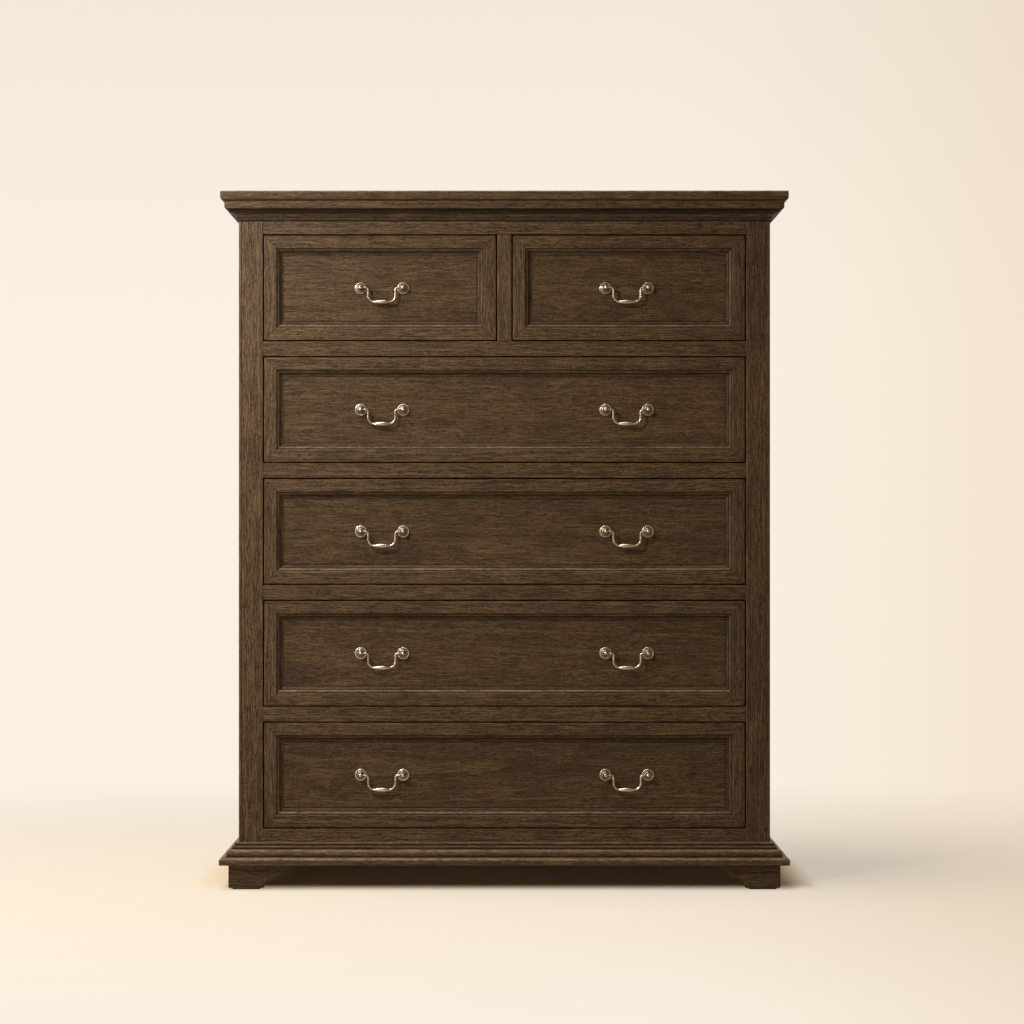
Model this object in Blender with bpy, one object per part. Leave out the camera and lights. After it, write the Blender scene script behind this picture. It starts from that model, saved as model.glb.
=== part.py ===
"""Tallboy: a tall chest with two short and four long drawers.

Dark oak case on bracket feet, with a mitred cornice and plinth moulding, panelled drawer
fronts and swan-neck bail handles hung in ball-headed posts. Metres, +Z up. The origin is on
the floor under the middle of the overall box, and the drawers face -Y.
"""
import math

import bmesh
import bpy
from mathutils import Vector

# Case, front view and plan
CASE_WIDTH = 0.950
CASE_DEPTH = 0.445
STILE_WIDTH = 0.043
STILE_DEPTH = 0.028
SIDE_THICKNESS = 0.020
BACK_THICKNESS = 0.008
MUNTIN_WIDTH = 0.0255
DIVIDER_THICKNESS = 0.018

# Heights, from the floor up
FOOT_HEIGHT = 0.0445
PLINTH_HEIGHT = 0.0385
BOTTOM_RAIL_HEIGHT = 0.0235
OPENING_HEIGHT = 0.1915
RAIL_HEIGHT = 0.0263
TOP_RAIL_HEIGHT = 0.0230
CORNICE_HEIGHT = 0.0345
TOP_BOARD_THICKNESS = 0.017
LONG_DRAWER_NAMES = ("bottom", "fourth", "third", "second")

# Clearances
SEAM = 0.0003
DRAWER_GAP = 0.0024
BOX_SIDE_CLEARANCE = 0.0025
BOX_TOP_CLEARANCE = 0.0060
STOP_CLEARANCE = 0.0005
CUT_OVERRUN = 0.0010

# Top board edge
TOP_PROJECTION = 0.0300
TOP_UPPER_ROUND = 0.0025
TOP_LOWER_ROUND = 0.0050

# Cornice moulding, from its lower edge up
CORNICE_BEAD_PROJECTION = 0.0035
CORNICE_BEAD_HEIGHT = 0.0028
CORNICE_COVE_RUN = 0.0110
CORNICE_COVE_RISE = 0.0117
CORNICE_COVE_SAG = 0.0018
CORNICE_FILLET_PROJECTION = 0.0168
CORNICE_FILLET_HEIGHT = 0.0018
CORNICE_FACE_PROJECTION = 0.0230
CORNICE_OVOLO_RISE = 0.0052

# Plinth moulding, from its lower edge up
PLINTH_PROJECTION = 0.0320
PLINTH_EDGE_HEIGHT = 0.0075
PLINTH_NOSE_RUN = 0.0075
PLINTH_NOSE_RISE = 0.0060
PLINTH_OVOLO_PROJECTION = 0.0192
PLINTH_OVOLO_FLAT = 0.0045
PLINTH_OVOLO_RUN = 0.0056
PLINTH_OVOLO_RISE = 0.0095
PLINTH_LOWER_STEP_PROJECTION = 0.0103
PLINTH_LOWER_STEP_HEIGHT = 0.0060
PLINTH_UPPER_STEP_PROJECTION = 0.0065

# Bracket feet
FOOT_PROJECTION = 0.0166
FOOT_THICKNESS = 0.020
FOOT_BASE_WIDTH = 0.062
FOOT_TOP_WIDTH = 0.1150
FOOT_ARCH_RUN = 0.022
FOOT_ARCH_RISE = 0.0235
FOOT_SWELL = 0.0015
FOOT_BLOCK_WIDTH = 0.034
FOOT_BLOCK_LIFT = 0.0020

# Web frames that the drawers run on
WEB_RUNNER_WIDTH = 0.055
WEB_FRONT_WIDTH = 0.070
WEB_BACK_WIDTH = 0.055
WEB_MIDDLE_WIDTH = 0.080
DUST_PANEL_THICKNESS = 0.006
GUIDE_HEIGHT = 0.012
STOP_DEPTH = 0.012
STOP_REACH = 0.020

# Moulded edge between a frame and its sunk panel
ARRIS = 0.0008
QUIRK_DEPTH = 0.0022
OVOLO_WIDTH = 0.0055
OVOLO_DEPTH = 0.0035
FILLET_WIDTH = 0.0008
COVE_WIDTH = 0.0047
COVE_DEPTH = 0.0028

# Drawers
FRONT_THICKNESS = 0.020
FRONT_FRAME_WIDTH = 0.0222
BOX_WALL = 0.012
BOX_BOTTOM_THICKNESS = 0.006
BOX_BOTTOM_RISE = 0.009
BOX_BACK_DROP = 0.012

# Panelled sides
SIDE_STILE_WIDTH = 0.060
SIDE_TOP_RAIL_WIDTH = 0.090
SIDE_BOTTOM_RAIL_WIDTH = 0.105

# Handles: turned posts
HANDLE_OFFSET = 0.219
POST_SPACING = 0.076
POST_REACH = 0.0140
ROSETTE_RADIUS = 0.0110
ROSETTE_THICKNESS = 0.0042
COLLAR_RADIUS = 0.0066
COLLAR_THICKNESS = 0.0020
NECK_RADIUS = 0.0029
BALL_RADIUS = 0.0044

# Handles: swan-neck bails
PIN_RADIUS = 0.0015
PIN_CLEARANCE = 0.0004
PIN_END_GAP = 0.0005
PIN_DEPTH = 0.0030
BAIL_RADIUS = 0.0020
BAIL_ARM_SPACING = 0.0486
BAIL_SHOULDER_RADIUS = 0.0042
BAIL_CORNER_RADIUS = 0.0120
BAIL_DROP = 0.0258
GRIP_RADIUS = 0.0042
GRIP_LENGTH = 0.0305

# Counts of facets
ARC_STEPS = 5
FINE_ARC_STEPS = 4
BALL_STEPS = 5
POST_SIDES = 12
BAIL_SIDES = 8
BORE_SIDES = 8
SHOULDER_STEPS = 3
CORNER_STEPS = 4
GRIP_STEPS = 3
SMOOTH_ANGLE = math.radians(40)

# Turned rosette outline: height and radius as shares of the rosette's own
ROSETTE_SHARES = ((0.0, 1.0), (0.30, 1.0), (0.52, 0.88), (0.52, 0.78), (0.85, 0.70))
COLLAR_TAPER_SHARE = 0.80
BALL_TIP_ANGLE = 75

# Plan and heights that follow from the sizes above
half_width = CASE_WIDTH / 2
opening_half = half_width - STILE_WIDTH
greatest_projection = max(PLINTH_PROJECTION, TOP_PROJECTION, FOOT_PROJECTION)
overall_depth = CASE_DEPTH + greatest_projection
case_front = greatest_projection - overall_depth / 2
case_back = case_front + CASE_DEPTH
stile_back = case_front + STILE_DEPTH
back_panel_front = case_back - BACK_THICKNESS
inner_half = half_width - SIDE_THICKNESS

case_bottom = FOOT_HEIGHT
first_opening = case_bottom + PLINTH_HEIGHT + BOTTOM_RAIL_HEIGHT
row_pitch = OPENING_HEIGHT + RAIL_HEIGHT
top_row = first_opening + row_pitch * len(LONG_DRAWER_NAMES)
last_opening_top = top_row + OPENING_HEIGHT
case_top = last_opening_top + TOP_RAIL_HEIGHT + CORNICE_HEIGHT

panel_depth = QUIRK_DEPTH + OVOLO_DEPTH + COVE_DEPTH
panel_face = case_front + panel_depth
pivot_y = panel_face - SEAM - POST_REACH
box_front = case_front + FRONT_THICKNESS + SEAM
stop_front = back_panel_front - SEAM - STOP_DEPTH
box_back = stop_front - STOP_CLEARANCE


def clear_scene():
    for thing in list(bpy.data.objects):
        bpy.data.objects.remove(thing, do_unlink=True)


def finish(name, colour, roughness, metallic=0.0):
    """A plain Principled material with one colour."""
    material = bpy.data.materials.new(name)
    material.use_nodes = True
    shader = material.node_tree.nodes["Principled BSDF"]
    shader.inputs["Base Color"].default_value = (*colour, 1.0)
    shader.inputs["Roughness"].default_value = roughness
    shader.inputs["Metallic"].default_value = metallic
    material.diffuse_color = (*colour, 1.0)
    return material


def skin(bm, rings):
    """Join rings of points, each as long as the last, into one skin closed at both ends."""
    rows = [[bm.verts.new(point) for point in ring] for ring in rings]
    for low, high in zip(rows, rows[1:]):
        for i in range(len(low)):
            j = (i + 1) % len(low)
            bm.faces.new((low[i], low[j], high[j], high[i]))
    bm.faces.new(rows[0])
    bm.faces.new(rows[-1])


def mesh_from(name, bm):
    bmesh.ops.recalc_face_normals(bm, faces=bm.faces)
    mesh = bpy.data.meshes.new(name)
    bm.to_mesh(mesh)
    bm.free()
    return mesh


def place(name, mesh, material, location=(0, 0, 0), turn=0.0, parent=None):
    """A named object for a mesh, turned about Y, under its parent."""
    thing = bpy.data.objects.new(name, mesh)
    if not mesh.materials:
        mesh.materials.append(material)
    thing.location = location
    thing.rotation_euler.y = turn
    bpy.context.collection.objects.link(thing)
    if parent is not None:
        thing.parent = parent
        thing.location = Vector(location) - parent.location
    return thing


def anchor(name, location):
    """An empty that a drawer's pieces hang on."""
    empty = bpy.data.objects.new(name, None)
    empty.location = location
    bpy.context.collection.objects.link(empty)
    return empty


def prism_mesh(name, outline, low, high):
    """A plan outline raised from one height to another."""
    bm = bmesh.new()
    skin(bm, [[(x, y, z) for x, y in outline] for z in (low, high)])
    return mesh_from(name, bm)


def rectangle(x0, x1, y0, y1):
    return [(x0, y0), (x1, y0), (x1, y1), (x0, y1)]


def combine(mesh, tool_mesh, operation):
    """Union or difference of two closed meshes, as a new mesh."""
    body = bpy.data.objects.new("body", mesh)
    tool = bpy.data.objects.new("tool", tool_mesh)
    for thing in (body, tool):
        bpy.context.collection.objects.link(thing)
    tool.hide_render = True
    tool.display_type = "WIRE"
    modifier = body.modifiers.new("combine", "BOOLEAN")
    modifier.operation = operation
    modifier.solver = "EXACT"
    modifier.object = tool
    graph = bpy.context.evaluated_depsgraph_get()
    result = bpy.data.meshes.new_from_object(body.evaluated_get(graph))
    name = mesh.name
    for thing in (body, tool):
        bpy.data.objects.remove(thing, do_unlink=True)
    bpy.data.meshes.remove(mesh)
    bpy.data.meshes.remove(tool_mesh)
    result.name = name
    return result


def arc(centre, radii, start, end, steps):
    """Points on an ellipse's arc, angles in degrees."""
    points = []
    for i in range(steps + 1):
        angle = math.radians(start + (end - start) * i / steps)
        points.append((centre[0] + radii[0] * math.cos(angle),
                       centre[1] + radii[1] * math.sin(angle)))
    return points


def sagging_line(start, end, sag, steps):
    """A shallow hollow between two points, or a swell if sag is negative, its ends left out."""
    run, rise = end[0] - start[0], end[1] - start[1]
    length = math.hypot(run, rise)
    points = []
    for i in range(1, steps):
        share = i / steps
        dip = 4 * sag * share * (1 - share)
        points.append((start[0] + run * share - dip * rise / length,
                       start[1] + rise * share + dip * run / length))
    return points


def cornice_outline():
    """Section of the cornice moulding: projection from the case, and height above its foot."""
    cove_start = (CORNICE_BEAD_PROJECTION, CORNICE_BEAD_HEIGHT)
    cove_end = (cove_start[0] + CORNICE_COVE_RUN, cove_start[1] + CORNICE_COVE_RISE)
    fillet_top = cove_end[1] + CORNICE_FILLET_HEIGHT
    ovolo_run = CORNICE_FACE_PROJECTION - CORNICE_FILLET_PROJECTION
    outline = [(SEAM, 0), (CORNICE_BEAD_PROJECTION, 0), cove_start]
    outline += sagging_line(cove_start, cove_end, CORNICE_COVE_SAG, ARC_STEPS)
    outline += [cove_end, (CORNICE_FILLET_PROJECTION, cove_end[1])]
    outline += arc((CORNICE_FILLET_PROJECTION, fillet_top + CORNICE_OVOLO_RISE),
                   (ovolo_run, CORNICE_OVOLO_RISE), -90, 0, ARC_STEPS)
    outline += [(CORNICE_FACE_PROJECTION, CORNICE_HEIGHT), (SEAM, CORNICE_HEIGHT)]
    return outline


def plinth_outline():
    """Section of the plinth moulding: projection from the case, and height above its foot."""
    nose_root = PLINTH_PROJECTION - PLINTH_NOSE_RUN
    ledge = PLINTH_EDGE_HEIGHT + PLINTH_NOSE_RISE
    ovolo_root = PLINTH_OVOLO_PROJECTION - PLINTH_OVOLO_RUN
    ovolo_foot = ledge + PLINTH_OVOLO_FLAT
    first_step = ovolo_foot + PLINTH_OVOLO_RISE
    second_step = first_step + PLINTH_LOWER_STEP_HEIGHT
    outline = [(SEAM, 0), (PLINTH_PROJECTION, 0)]
    outline += arc((nose_root, PLINTH_EDGE_HEIGHT), (PLINTH_NOSE_RUN, PLINTH_NOSE_RISE),
                   0, 90, ARC_STEPS)
    outline += [(PLINTH_OVOLO_PROJECTION, ledge)]
    outline += arc((ovolo_root, ovolo_foot), (PLINTH_OVOLO_RUN, PLINTH_OVOLO_RISE),
                   0, 90, ARC_STEPS)
    outline += [(PLINTH_LOWER_STEP_PROJECTION, first_step),
                (PLINTH_LOWER_STEP_PROJECTION, second_step),
                (PLINTH_UPPER_STEP_PROJECTION, second_step),
                (PLINTH_UPPER_STEP_PROJECTION, PLINTH_HEIGHT), (SEAM, PLINTH_HEIGHT)]
    return outline


def moulding_mesh(name, outline, foot):
    """A section swept along one side, mitred across the front and back along the other."""
    rings = []
    for side, at_back in ((-1, True), (-1, False), (1, False), (1, True)):
        rings.append([(side * (half_width + reach),
                       case_back if at_back else case_front - reach, foot + height)
                      for reach, height in outline])
    bm = bmesh.new()
    skin(bm, rings)
    return mesh_from(name, bm)


def top_board_mesh():
    """A board rounded along its front and ends, square and flush at the back."""
    low = case_top + SEAM
    high = case_top + TOP_BOARD_THICKNESS
    edge = arc((TOP_PROJECTION - TOP_LOWER_ROUND, low + TOP_LOWER_ROUND),
               (TOP_LOWER_ROUND, TOP_LOWER_ROUND), -90, 0, ARC_STEPS)
    edge += arc((TOP_PROJECTION - TOP_UPPER_ROUND, high - TOP_UPPER_ROUND),
                (TOP_UPPER_ROUND, TOP_UPPER_ROUND), 0, 90, ARC_STEPS)
    bm = bmesh.new()
    skin(bm, [[(x, y, height) for x, y in rectangle(-half_width - reach, half_width + reach,
                                                    case_front - reach, case_back)]
              for reach, height in edge])
    return mesh_from("top_board", bm)


def panel_edge():
    """Moulded edge of a sunk panel: distance in from the frame's edge, and depth."""
    edge = [(0, 0), (0, QUIRK_DEPTH)]
    floor = QUIRK_DEPTH + OVOLO_DEPTH
    edge += arc((0, floor), (OVOLO_WIDTH, -OVOLO_DEPTH), 90, 0, FINE_ARC_STEPS)[1:]
    cove_end = OVOLO_WIDTH + FILLET_WIDTH + COVE_WIDTH
    edge += arc((cove_end, floor), (-COVE_WIDTH, COVE_DEPTH), 0, 90, FINE_ARC_STEPS)
    return edge


def panelled_rings(u0, u1, v0, v1, margins, thickness):
    """Nested rectangles, from the back face of a framed board to its sunk panel.

    margins are the frame's widths at u0, u1, v0 and v1. Points are (u, v, depth).
    """
    steps = [((0, 0, 0, 0), thickness), ((0, 0, 0, 0), ARRIS), ((ARRIS,) * 4, 0)]
    steps += [(tuple(margin + inset for margin in margins), depth)
              for inset, depth in panel_edge()]
    rings = []
    for (left, right, low, high), depth in steps:
        rings.append([(u0 + left, v0 + low, depth), (u1 - right, v0 + low, depth),
                      (u1 - right, v1 - high, depth), (u0 + left, v1 - high, depth)])
    return rings


def drawer_front_mesh(name, width):
    """Drawer front about its own centre: flat frame, moulded edge and sunk panel."""
    u, v = width / 2, OPENING_HEIGHT / 2 - DRAWER_GAP
    rings = panelled_rings(-u, u, -v, v, (FRONT_FRAME_WIDTH,) * 4, FRONT_THICKNESS)
    bm = bmesh.new()
    skin(bm, [[(x, depth, z) for x, z, depth in ring] for ring in rings])
    return mesh_from(name, bm)


def drawer_box_mesh(name, width):
    """Drawer box about its own centre: four walls, a raised bottom and a lowered back."""
    half = width / 2
    low = SEAM - OPENING_HEIGHT / 2
    high = OPENING_HEIGHT / 2 - BOX_TOP_CLEARANCE
    front = FRONT_THICKNESS + SEAM
    back = front + box_back - box_front
    inner = half - BOX_WALL
    bottom = low + BOX_BOTTOM_RISE
    mesh = prism_mesh(name, rectangle(-half, half, front, back), low, high)
    inside = rectangle(-inner, inner, front + BOX_WALL, back - BOX_WALL)
    back_gap = rectangle(-inner, inner, back - BOX_WALL - CUT_OVERRUN, back + CUT_OVERRUN)
    cuts = ((inside, bottom + BOX_BOTTOM_THICKNESS, high + CUT_OVERRUN),
            (inside, low - CUT_OVERRUN, bottom),
            (back_gap, high - BOX_BACK_DROP, high + CUT_OVERRUN))
    for outline, start, end in cuts:
        mesh = combine(mesh, prism_mesh("cut", outline, start, end), "DIFFERENCE")
    return mesh


def side_mesh(name, side):
    """Panelled side with the front corner stile turned in at its edge."""
    margins = (SIDE_STILE_WIDTH, SIDE_STILE_WIDTH, SIDE_BOTTOM_RAIL_WIDTH, SIDE_TOP_RAIL_WIDTH)
    rings = panelled_rings(case_front, case_back, case_bottom, case_top, margins,
                           SIDE_THICKNESS)
    bm = bmesh.new()
    skin(bm, [[(side * (half_width - depth), y, z) for y, z, depth in ring] for ring in rings])
    bmesh.ops.bisect_plane(bm, geom=bm.verts[:] + bm.edges[:] + bm.faces[:],
                           plane_co=(0, stile_back, 0), plane_no=(0, 1, 0))
    inside = [face for face in bm.faces
              if all(abs(abs(v.co.x) - inner_half) < SEAM for v in face.verts)
              and face.calc_center_median().y < stile_back]
    grown = bmesh.ops.extrude_face_region(bm, geom=inside)["geom"]
    shift = Vector((-side * (STILE_WIDTH - SIDE_THICKNESS), 0, 0))
    moved = [v for v in grown if isinstance(v, bmesh.types.BMVert)]
    bmesh.ops.translate(bm, vec=shift, verts=moved)
    bmesh.ops.delete(bm, geom=inside, context="FACES_ONLY")
    return mesh_from(name, bm)


def web_frame_mesh(name, low, rail_low, rail_high, guided=True, middle=False):
    """Front rail, runners, back rail and dust panel, glued up as one frame.

    The web runs from low up to low + RAIL_HEIGHT. The front rail shows between the stiles
    from rail_low to rail_high. Guides stand beside the drawer's path, with a stop behind it.
    """
    high = low + RAIL_HEIGHT
    reach = inner_half - SEAM
    rear = back_panel_front - SEAM
    rail_half = opening_half - SEAM
    shoulder = stile_back + SEAM
    rail = rectangle(-rail_half, rail_half, case_front, shoulder)
    plan = [rail[0], rail[1], rail[2], (reach, shoulder), (reach, rear),
            (-reach, rear), (-reach, shoulder), rail[3]]
    mesh = prism_mesh(name, plan, low, high)
    strip = rectangle(-rail_half, rail_half, case_front, stile_back)
    if rail_low < low:
        mesh = combine(mesh, prism_mesh("rail", strip, rail_low, low + CUT_OVERRUN), "UNION")
    if rail_high > high:
        mesh = combine(mesh, prism_mesh("rail", strip, high - CUT_OVERRUN, rail_high), "UNION")
    outer = reach - WEB_RUNNER_WIDTH
    inner = WEB_MIDDLE_WIDTH / 2
    spans = ((-outer, -inner), (inner, outer)) if middle else ((-outer, outer),)
    centre = (low + high) / 2
    depths = ((centre + DUST_PANEL_THICKNESS / 2, high + CUT_OVERRUN),
              (low - CUT_OVERRUN, centre - DUST_PANEL_THICKNESS / 2))
    for x0, x1 in spans:
        well = rectangle(x0, x1, case_front + WEB_FRONT_WIDTH, rear - WEB_BACK_WIDTH)
        for start, end in depths:
            mesh = combine(mesh, prism_mesh("well", well, start, end), "DIFFERENCE")
    for side in (-1, 1) if guided else ():
        edge, stop = side * opening_half, side * (opening_half - STOP_REACH)
        wall, near, far = side * (reach - SEAM), shoulder + SEAM, rear - SEAM
        guide = [(edge, near), (wall, near), (wall, far), (stop, far), (stop, stop_front),
                 (edge, stop_front)]
        tool = prism_mesh("guide", guide, high - CUT_OVERRUN, high + GUIDE_HEIGHT)
        mesh = combine(mesh, tool, "UNION")
    return mesh


def bracket_outline():
    """Shaped bracket: length from the corner and height, with an arch and a slanting swell."""
    arch_end = FOOT_BASE_WIDTH + FOOT_ARCH_RUN
    high = FOOT_HEIGHT - SEAM
    outline = [(0, 0)]
    outline += arc((arch_end, 0), (FOOT_ARCH_RUN, FOOT_ARCH_RISE), 180, 90, ARC_STEPS + 1)
    nose = (FOOT_TOP_WIDTH, high)
    outline += sagging_line((arch_end, FOOT_ARCH_RISE), nose, -FOOT_SWELL, ARC_STEPS)
    return outline + [nose, (0, high)]


def plain_outline():
    """Square bracket, as wide as the shaped one's base."""
    high = FOOT_HEIGHT - SEAM
    return [(0, 0), (FOOT_BASE_WIDTH, 0), (FOOT_BASE_WIDTH, high), (0, high)]


def foot_mesh(name, side, front):
    """Two brackets mitred at the corner, with a glue block behind them."""
    corner_x = side * (half_width + FOOT_PROJECTION)
    corner_y = case_front - FOOT_PROJECTION if front else case_back
    into_x = -side
    into_y = 1 if front else -1
    across = bracket_outline() if front else plain_outline()
    bm = bmesh.new()
    corner = {}
    for inner in (False, True):
        step = FOOT_THICKNESS if inner else 0
        for height in (0, across[-1][1]):
            corner[inner, height] = bm.verts.new((corner_x + into_x * step,
                                                  corner_y + into_y * step, height))
    for outline, along_x in ((across, True), (bracket_outline(), False)):
        rows = {}
        for inner in (False, True):
            step = FOOT_THICKNESS if inner else 0
            row = [corner[inner, 0]]
            for length, height in outline[1:-1]:
                shift_x, shift_y = (length, step) if along_x else (step, length)
                row.append(bm.verts.new((corner_x + into_x * shift_x,
                                         corner_y + into_y * shift_y, height)))
            row.append(corner[inner, outline[-1][1]])
            rows[inner] = row
            bm.faces.new(row)
        for i in range(len(outline) - 1):
            bm.faces.new((rows[False][i], rows[False][i + 1], rows[True][i + 1], rows[True][i]))
    mesh = mesh_from(name, bm)
    start, end = FOOT_THICKNESS - CUT_OVERRUN, FOOT_THICKNESS + FOOT_BLOCK_WIDTH
    block = rectangle(corner_x + into_x * start, corner_x + into_x * end,
                      corner_y + into_y * start, corner_y + into_y * end)
    tool = prism_mesh("block", block, FOOT_BLOCK_LIFT, FOOT_HEIGHT - SEAM)
    return combine(mesh, tool, "UNION")


def post_mesh():
    """Turned rosette, collar, neck and ball on an axis along -Y, cross-bored for the pin."""
    collar_foot = ROSETTE_SHARES[-1][0] * ROSETTE_THICKNESS
    collar_top = ROSETTE_THICKNESS + COLLAR_THICKNESS
    outline = [(height * ROSETTE_THICKNESS, radius * ROSETTE_RADIUS)
               for height, radius in ROSETTE_SHARES]
    outline += [(collar_foot, COLLAR_RADIUS), (collar_top, COLLAR_RADIUS * COLLAR_TAPER_SHARE)]
    ball_foot = POST_REACH - math.sqrt(BALL_RADIUS ** 2 - NECK_RADIUS ** 2)
    outline += [((collar_top + ball_foot) / 2, NECK_RADIUS)]
    start = math.degrees(math.acos(NECK_RADIUS / BALL_RADIUS))
    ball = arc((0, POST_REACH), (BALL_RADIUS, BALL_RADIUS), -start, BALL_TIP_ANGLE, BALL_STEPS)
    outline += [(height, radius) for radius, height in ball]
    rings = []
    for height, radius in outline:
        rings.append([(radius * math.cos(math.tau * i / POST_SIDES), -height,
                       radius * math.sin(math.tau * i / POST_SIDES)) for i in range(POST_SIDES)])
    bm = bmesh.new()
    skin(bm, rings)
    mesh = mesh_from("post", bm)
    bore = PIN_RADIUS + PIN_CLEARANCE
    bm = bmesh.new()
    skin(bm, [[(x, -POST_REACH + bore * math.cos(math.tau * i / BORE_SIDES),
                bore * math.sin(math.tau * i / BORE_SIDES)) for i in range(BORE_SIDES)]
              for x in (BALL_RADIUS - PIN_DEPTH - PIN_END_GAP, BALL_RADIUS + CUT_OVERRUN)])
    mesh = combine(mesh, mesh_from("bore", bm), "DIFFERENCE")
    mesh.shade_smooth()
    mesh.set_sharp_from_angle(angle=SMOOTH_ANGLE)
    return mesh


def bail_stations():
    """Half of the bail's centre line, from the pin's end to the middle of the grip.

    Each station is (x, z, angle of travel, radius); x is zero at the bail's middle.
    """
    post = POST_SPACING / 2
    arm = BAIL_ARM_SPACING / 2
    pin_end = post - BALL_RADIUS + PIN_DEPTH
    pin_root = post - BALL_RADIUS - PIN_END_GAP
    stations = [(-pin_end, 0, 0, PIN_RADIUS), (-pin_root, 0, 0, PIN_RADIUS),
                (-pin_root, 0, 0, BAIL_RADIUS)]
    shoulder = arc((-arm - BAIL_SHOULDER_RADIUS, -BAIL_SHOULDER_RADIUS),
                   (BAIL_SHOULDER_RADIUS, BAIL_SHOULDER_RADIUS), 90, 0, SHOULDER_STEPS)
    stations += [(x, z, -90 * i / SHOULDER_STEPS, BAIL_RADIUS) for i, (x, z) in enumerate(shoulder)]
    corner = arc((-arm + BAIL_CORNER_RADIUS, BAIL_CORNER_RADIUS - BAIL_DROP),
                 (BAIL_CORNER_RADIUS, BAIL_CORNER_RADIUS), 180, 270, CORNER_STEPS)
    stations += [(x, z, 90 * i / CORNER_STEPS - 90, bail_radius(x)) for i, (x, z) in enumerate(corner)]
    start = corner[-1][0]
    for i in range(1, GRIP_STEPS + 1):
        x = start * (1 - i / GRIP_STEPS)
        stations.append((x, -BAIL_DROP, 0, bail_radius(x)))
    return stations


def bail_radius(x):
    """The rod swells towards the middle of the grip."""
    share = min(1.0, abs(x) / (GRIP_LENGTH / 2))
    return BAIL_RADIUS + (GRIP_RADIUS - BAIL_RADIUS) * (1 - share ** 2)


def bail_mesh():
    """Swan-neck bail with its pins on the X axis through its origin."""
    half = bail_stations()
    other = [(-x, z, -angle, radius) for x, z, angle, radius in reversed(half[:-1])]
    rings = []
    for x, z, angle, radius in half + other:
        across = Vector((-math.sin(math.radians(angle)), 0, math.cos(math.radians(angle))))
        ring = []
        for i in range(BAIL_SIDES):
            turn = math.tau * (i + 0.5) / BAIL_SIDES
            ring.append(Vector((x, 0, z)) + radius * math.cos(turn) * across
                        + Vector((0, radius * math.sin(turn), 0)))
        rings.append(ring)
    bm = bmesh.new()
    skin(bm, rings)
    mesh = mesh_from("bail", bm)
    mesh.shade_smooth()
    mesh.set_sharp_from_angle(angle=SMOOTH_ANGLE)
    return mesh


def build_case(oak, plain_wood):
    place("top_board", top_board_mesh(), oak)
    place("cornice_moulding", moulding_mesh("cornice_moulding", cornice_outline(),
                                            case_top - CORNICE_HEIGHT), oak)
    place("plinth_moulding", moulding_mesh("plinth_moulding", plinth_outline(), case_bottom), oak)
    for side, name in ((-1, "left"), (1, "right")):
        place(name + "_side", side_mesh(name + "_side", side), oak)
        for front, end in ((True, "front"), (False, "rear")):
            foot = end + "_" + name + "_foot"
            place(foot, foot_mesh(foot, side, front), oak)
    place("bottom_frame", web_frame_mesh("bottom_frame", first_opening - RAIL_HEIGHT,
                                         case_bottom, first_opening), oak)
    for i in range(len(LONG_DRAWER_NAMES)):
        name = "drawer_frame_" + str(i + 1)
        low = first_opening + OPENING_HEIGHT + row_pitch * i
        under_short = i == len(LONG_DRAWER_NAMES) - 1
        place(name, web_frame_mesh(name, low, low, low + RAIL_HEIGHT, middle=under_short), oak)
    place("top_frame", web_frame_mesh("top_frame", last_opening_top, last_opening_top,
                                      case_top - SEAM, guided=False, middle=True), oak)
    low, high = top_row + SEAM, last_opening_top - SEAM
    place("centre_muntin", prism_mesh("centre_muntin", rectangle(
        -MUNTIN_WIDTH / 2, MUNTIN_WIDTH / 2, case_front, stile_back), low, high), oak)
    place("centre_divider", prism_mesh("centre_divider", rectangle(
        -DIVIDER_THICKNESS / 2, DIVIDER_THICKNESS / 2, stile_back + SEAM,
        back_panel_front - SEAM), low, high), plain_wood)
    reach = inner_half - SEAM
    place("back_panel", prism_mesh("back_panel", rectangle(-reach, reach, back_panel_front, case_back),
                                   case_bottom, case_top), plain_wood)


def build_drawer(name, centre_x, opening_width, row_low, handle_places, hardware, woods, brass):
    """One drawer: its front, its box and its handles, hung on an anchor that slides."""
    middle = row_low + OPENING_HEIGHT / 2
    slide = anchor(name + "_slide", (centre_x, case_front, middle))
    front_width = opening_width - 2 * DRAWER_GAP
    box_width = opening_width - 2 * BOX_SIDE_CLEARANCE
    spot = (centre_x, case_front, middle)
    place(name + "_front", drawer_front_mesh(name + "_front", front_width), woods[0], spot,
          parent=slide)
    place(name + "_box", drawer_box_mesh(name + "_box", box_width), woods[1], spot, parent=slide)
    post, bail = hardware
    for label, x in handle_places:
        stem = name + label
        for side, hand in ((-1, "left"), (1, "right")):
            turn = 0.0 if side < 0 else math.pi
            place(stem + "_" + hand + "_post", post, brass,
                  (x + side * POST_SPACING / 2, panel_face - SEAM, middle), turn, slide)
        place(stem + "_bail", bail, brass, (x, pivot_y, middle), parent=slide)


def build():
    clear_scene()
    oak = finish("dark_oak", (0.075, 0.047, 0.028), 0.55)
    plain_wood = finish("plain_oak", (0.32, 0.21, 0.12), 0.65)
    brass = finish("aged_brass", (0.62, 0.54, 0.42), 0.30, 1.0)
    build_case(oak, plain_wood)
    hardware = (post_mesh(), bail_mesh())
    woods = (oak, plain_wood)
    for i, name in enumerate(LONG_DRAWER_NAMES):
        places = (("_left", -HANDLE_OFFSET), ("_right", HANDLE_OFFSET))
        build_drawer(name + "_drawer", 0, 2 * opening_half, first_opening + row_pitch * i,
                     places, hardware, woods, brass)
    short_width = opening_half - MUNTIN_WIDTH / 2
    for side, name in ((-1, "top_left_drawer"), (1, "top_right_drawer")):
        centre_x = side * (MUNTIN_WIDTH + short_width) / 2
        build_drawer(name, centre_x, short_width, top_row, (("", side * HANDLE_OFFSET),),
                     hardware, woods, brass)


build()
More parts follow.
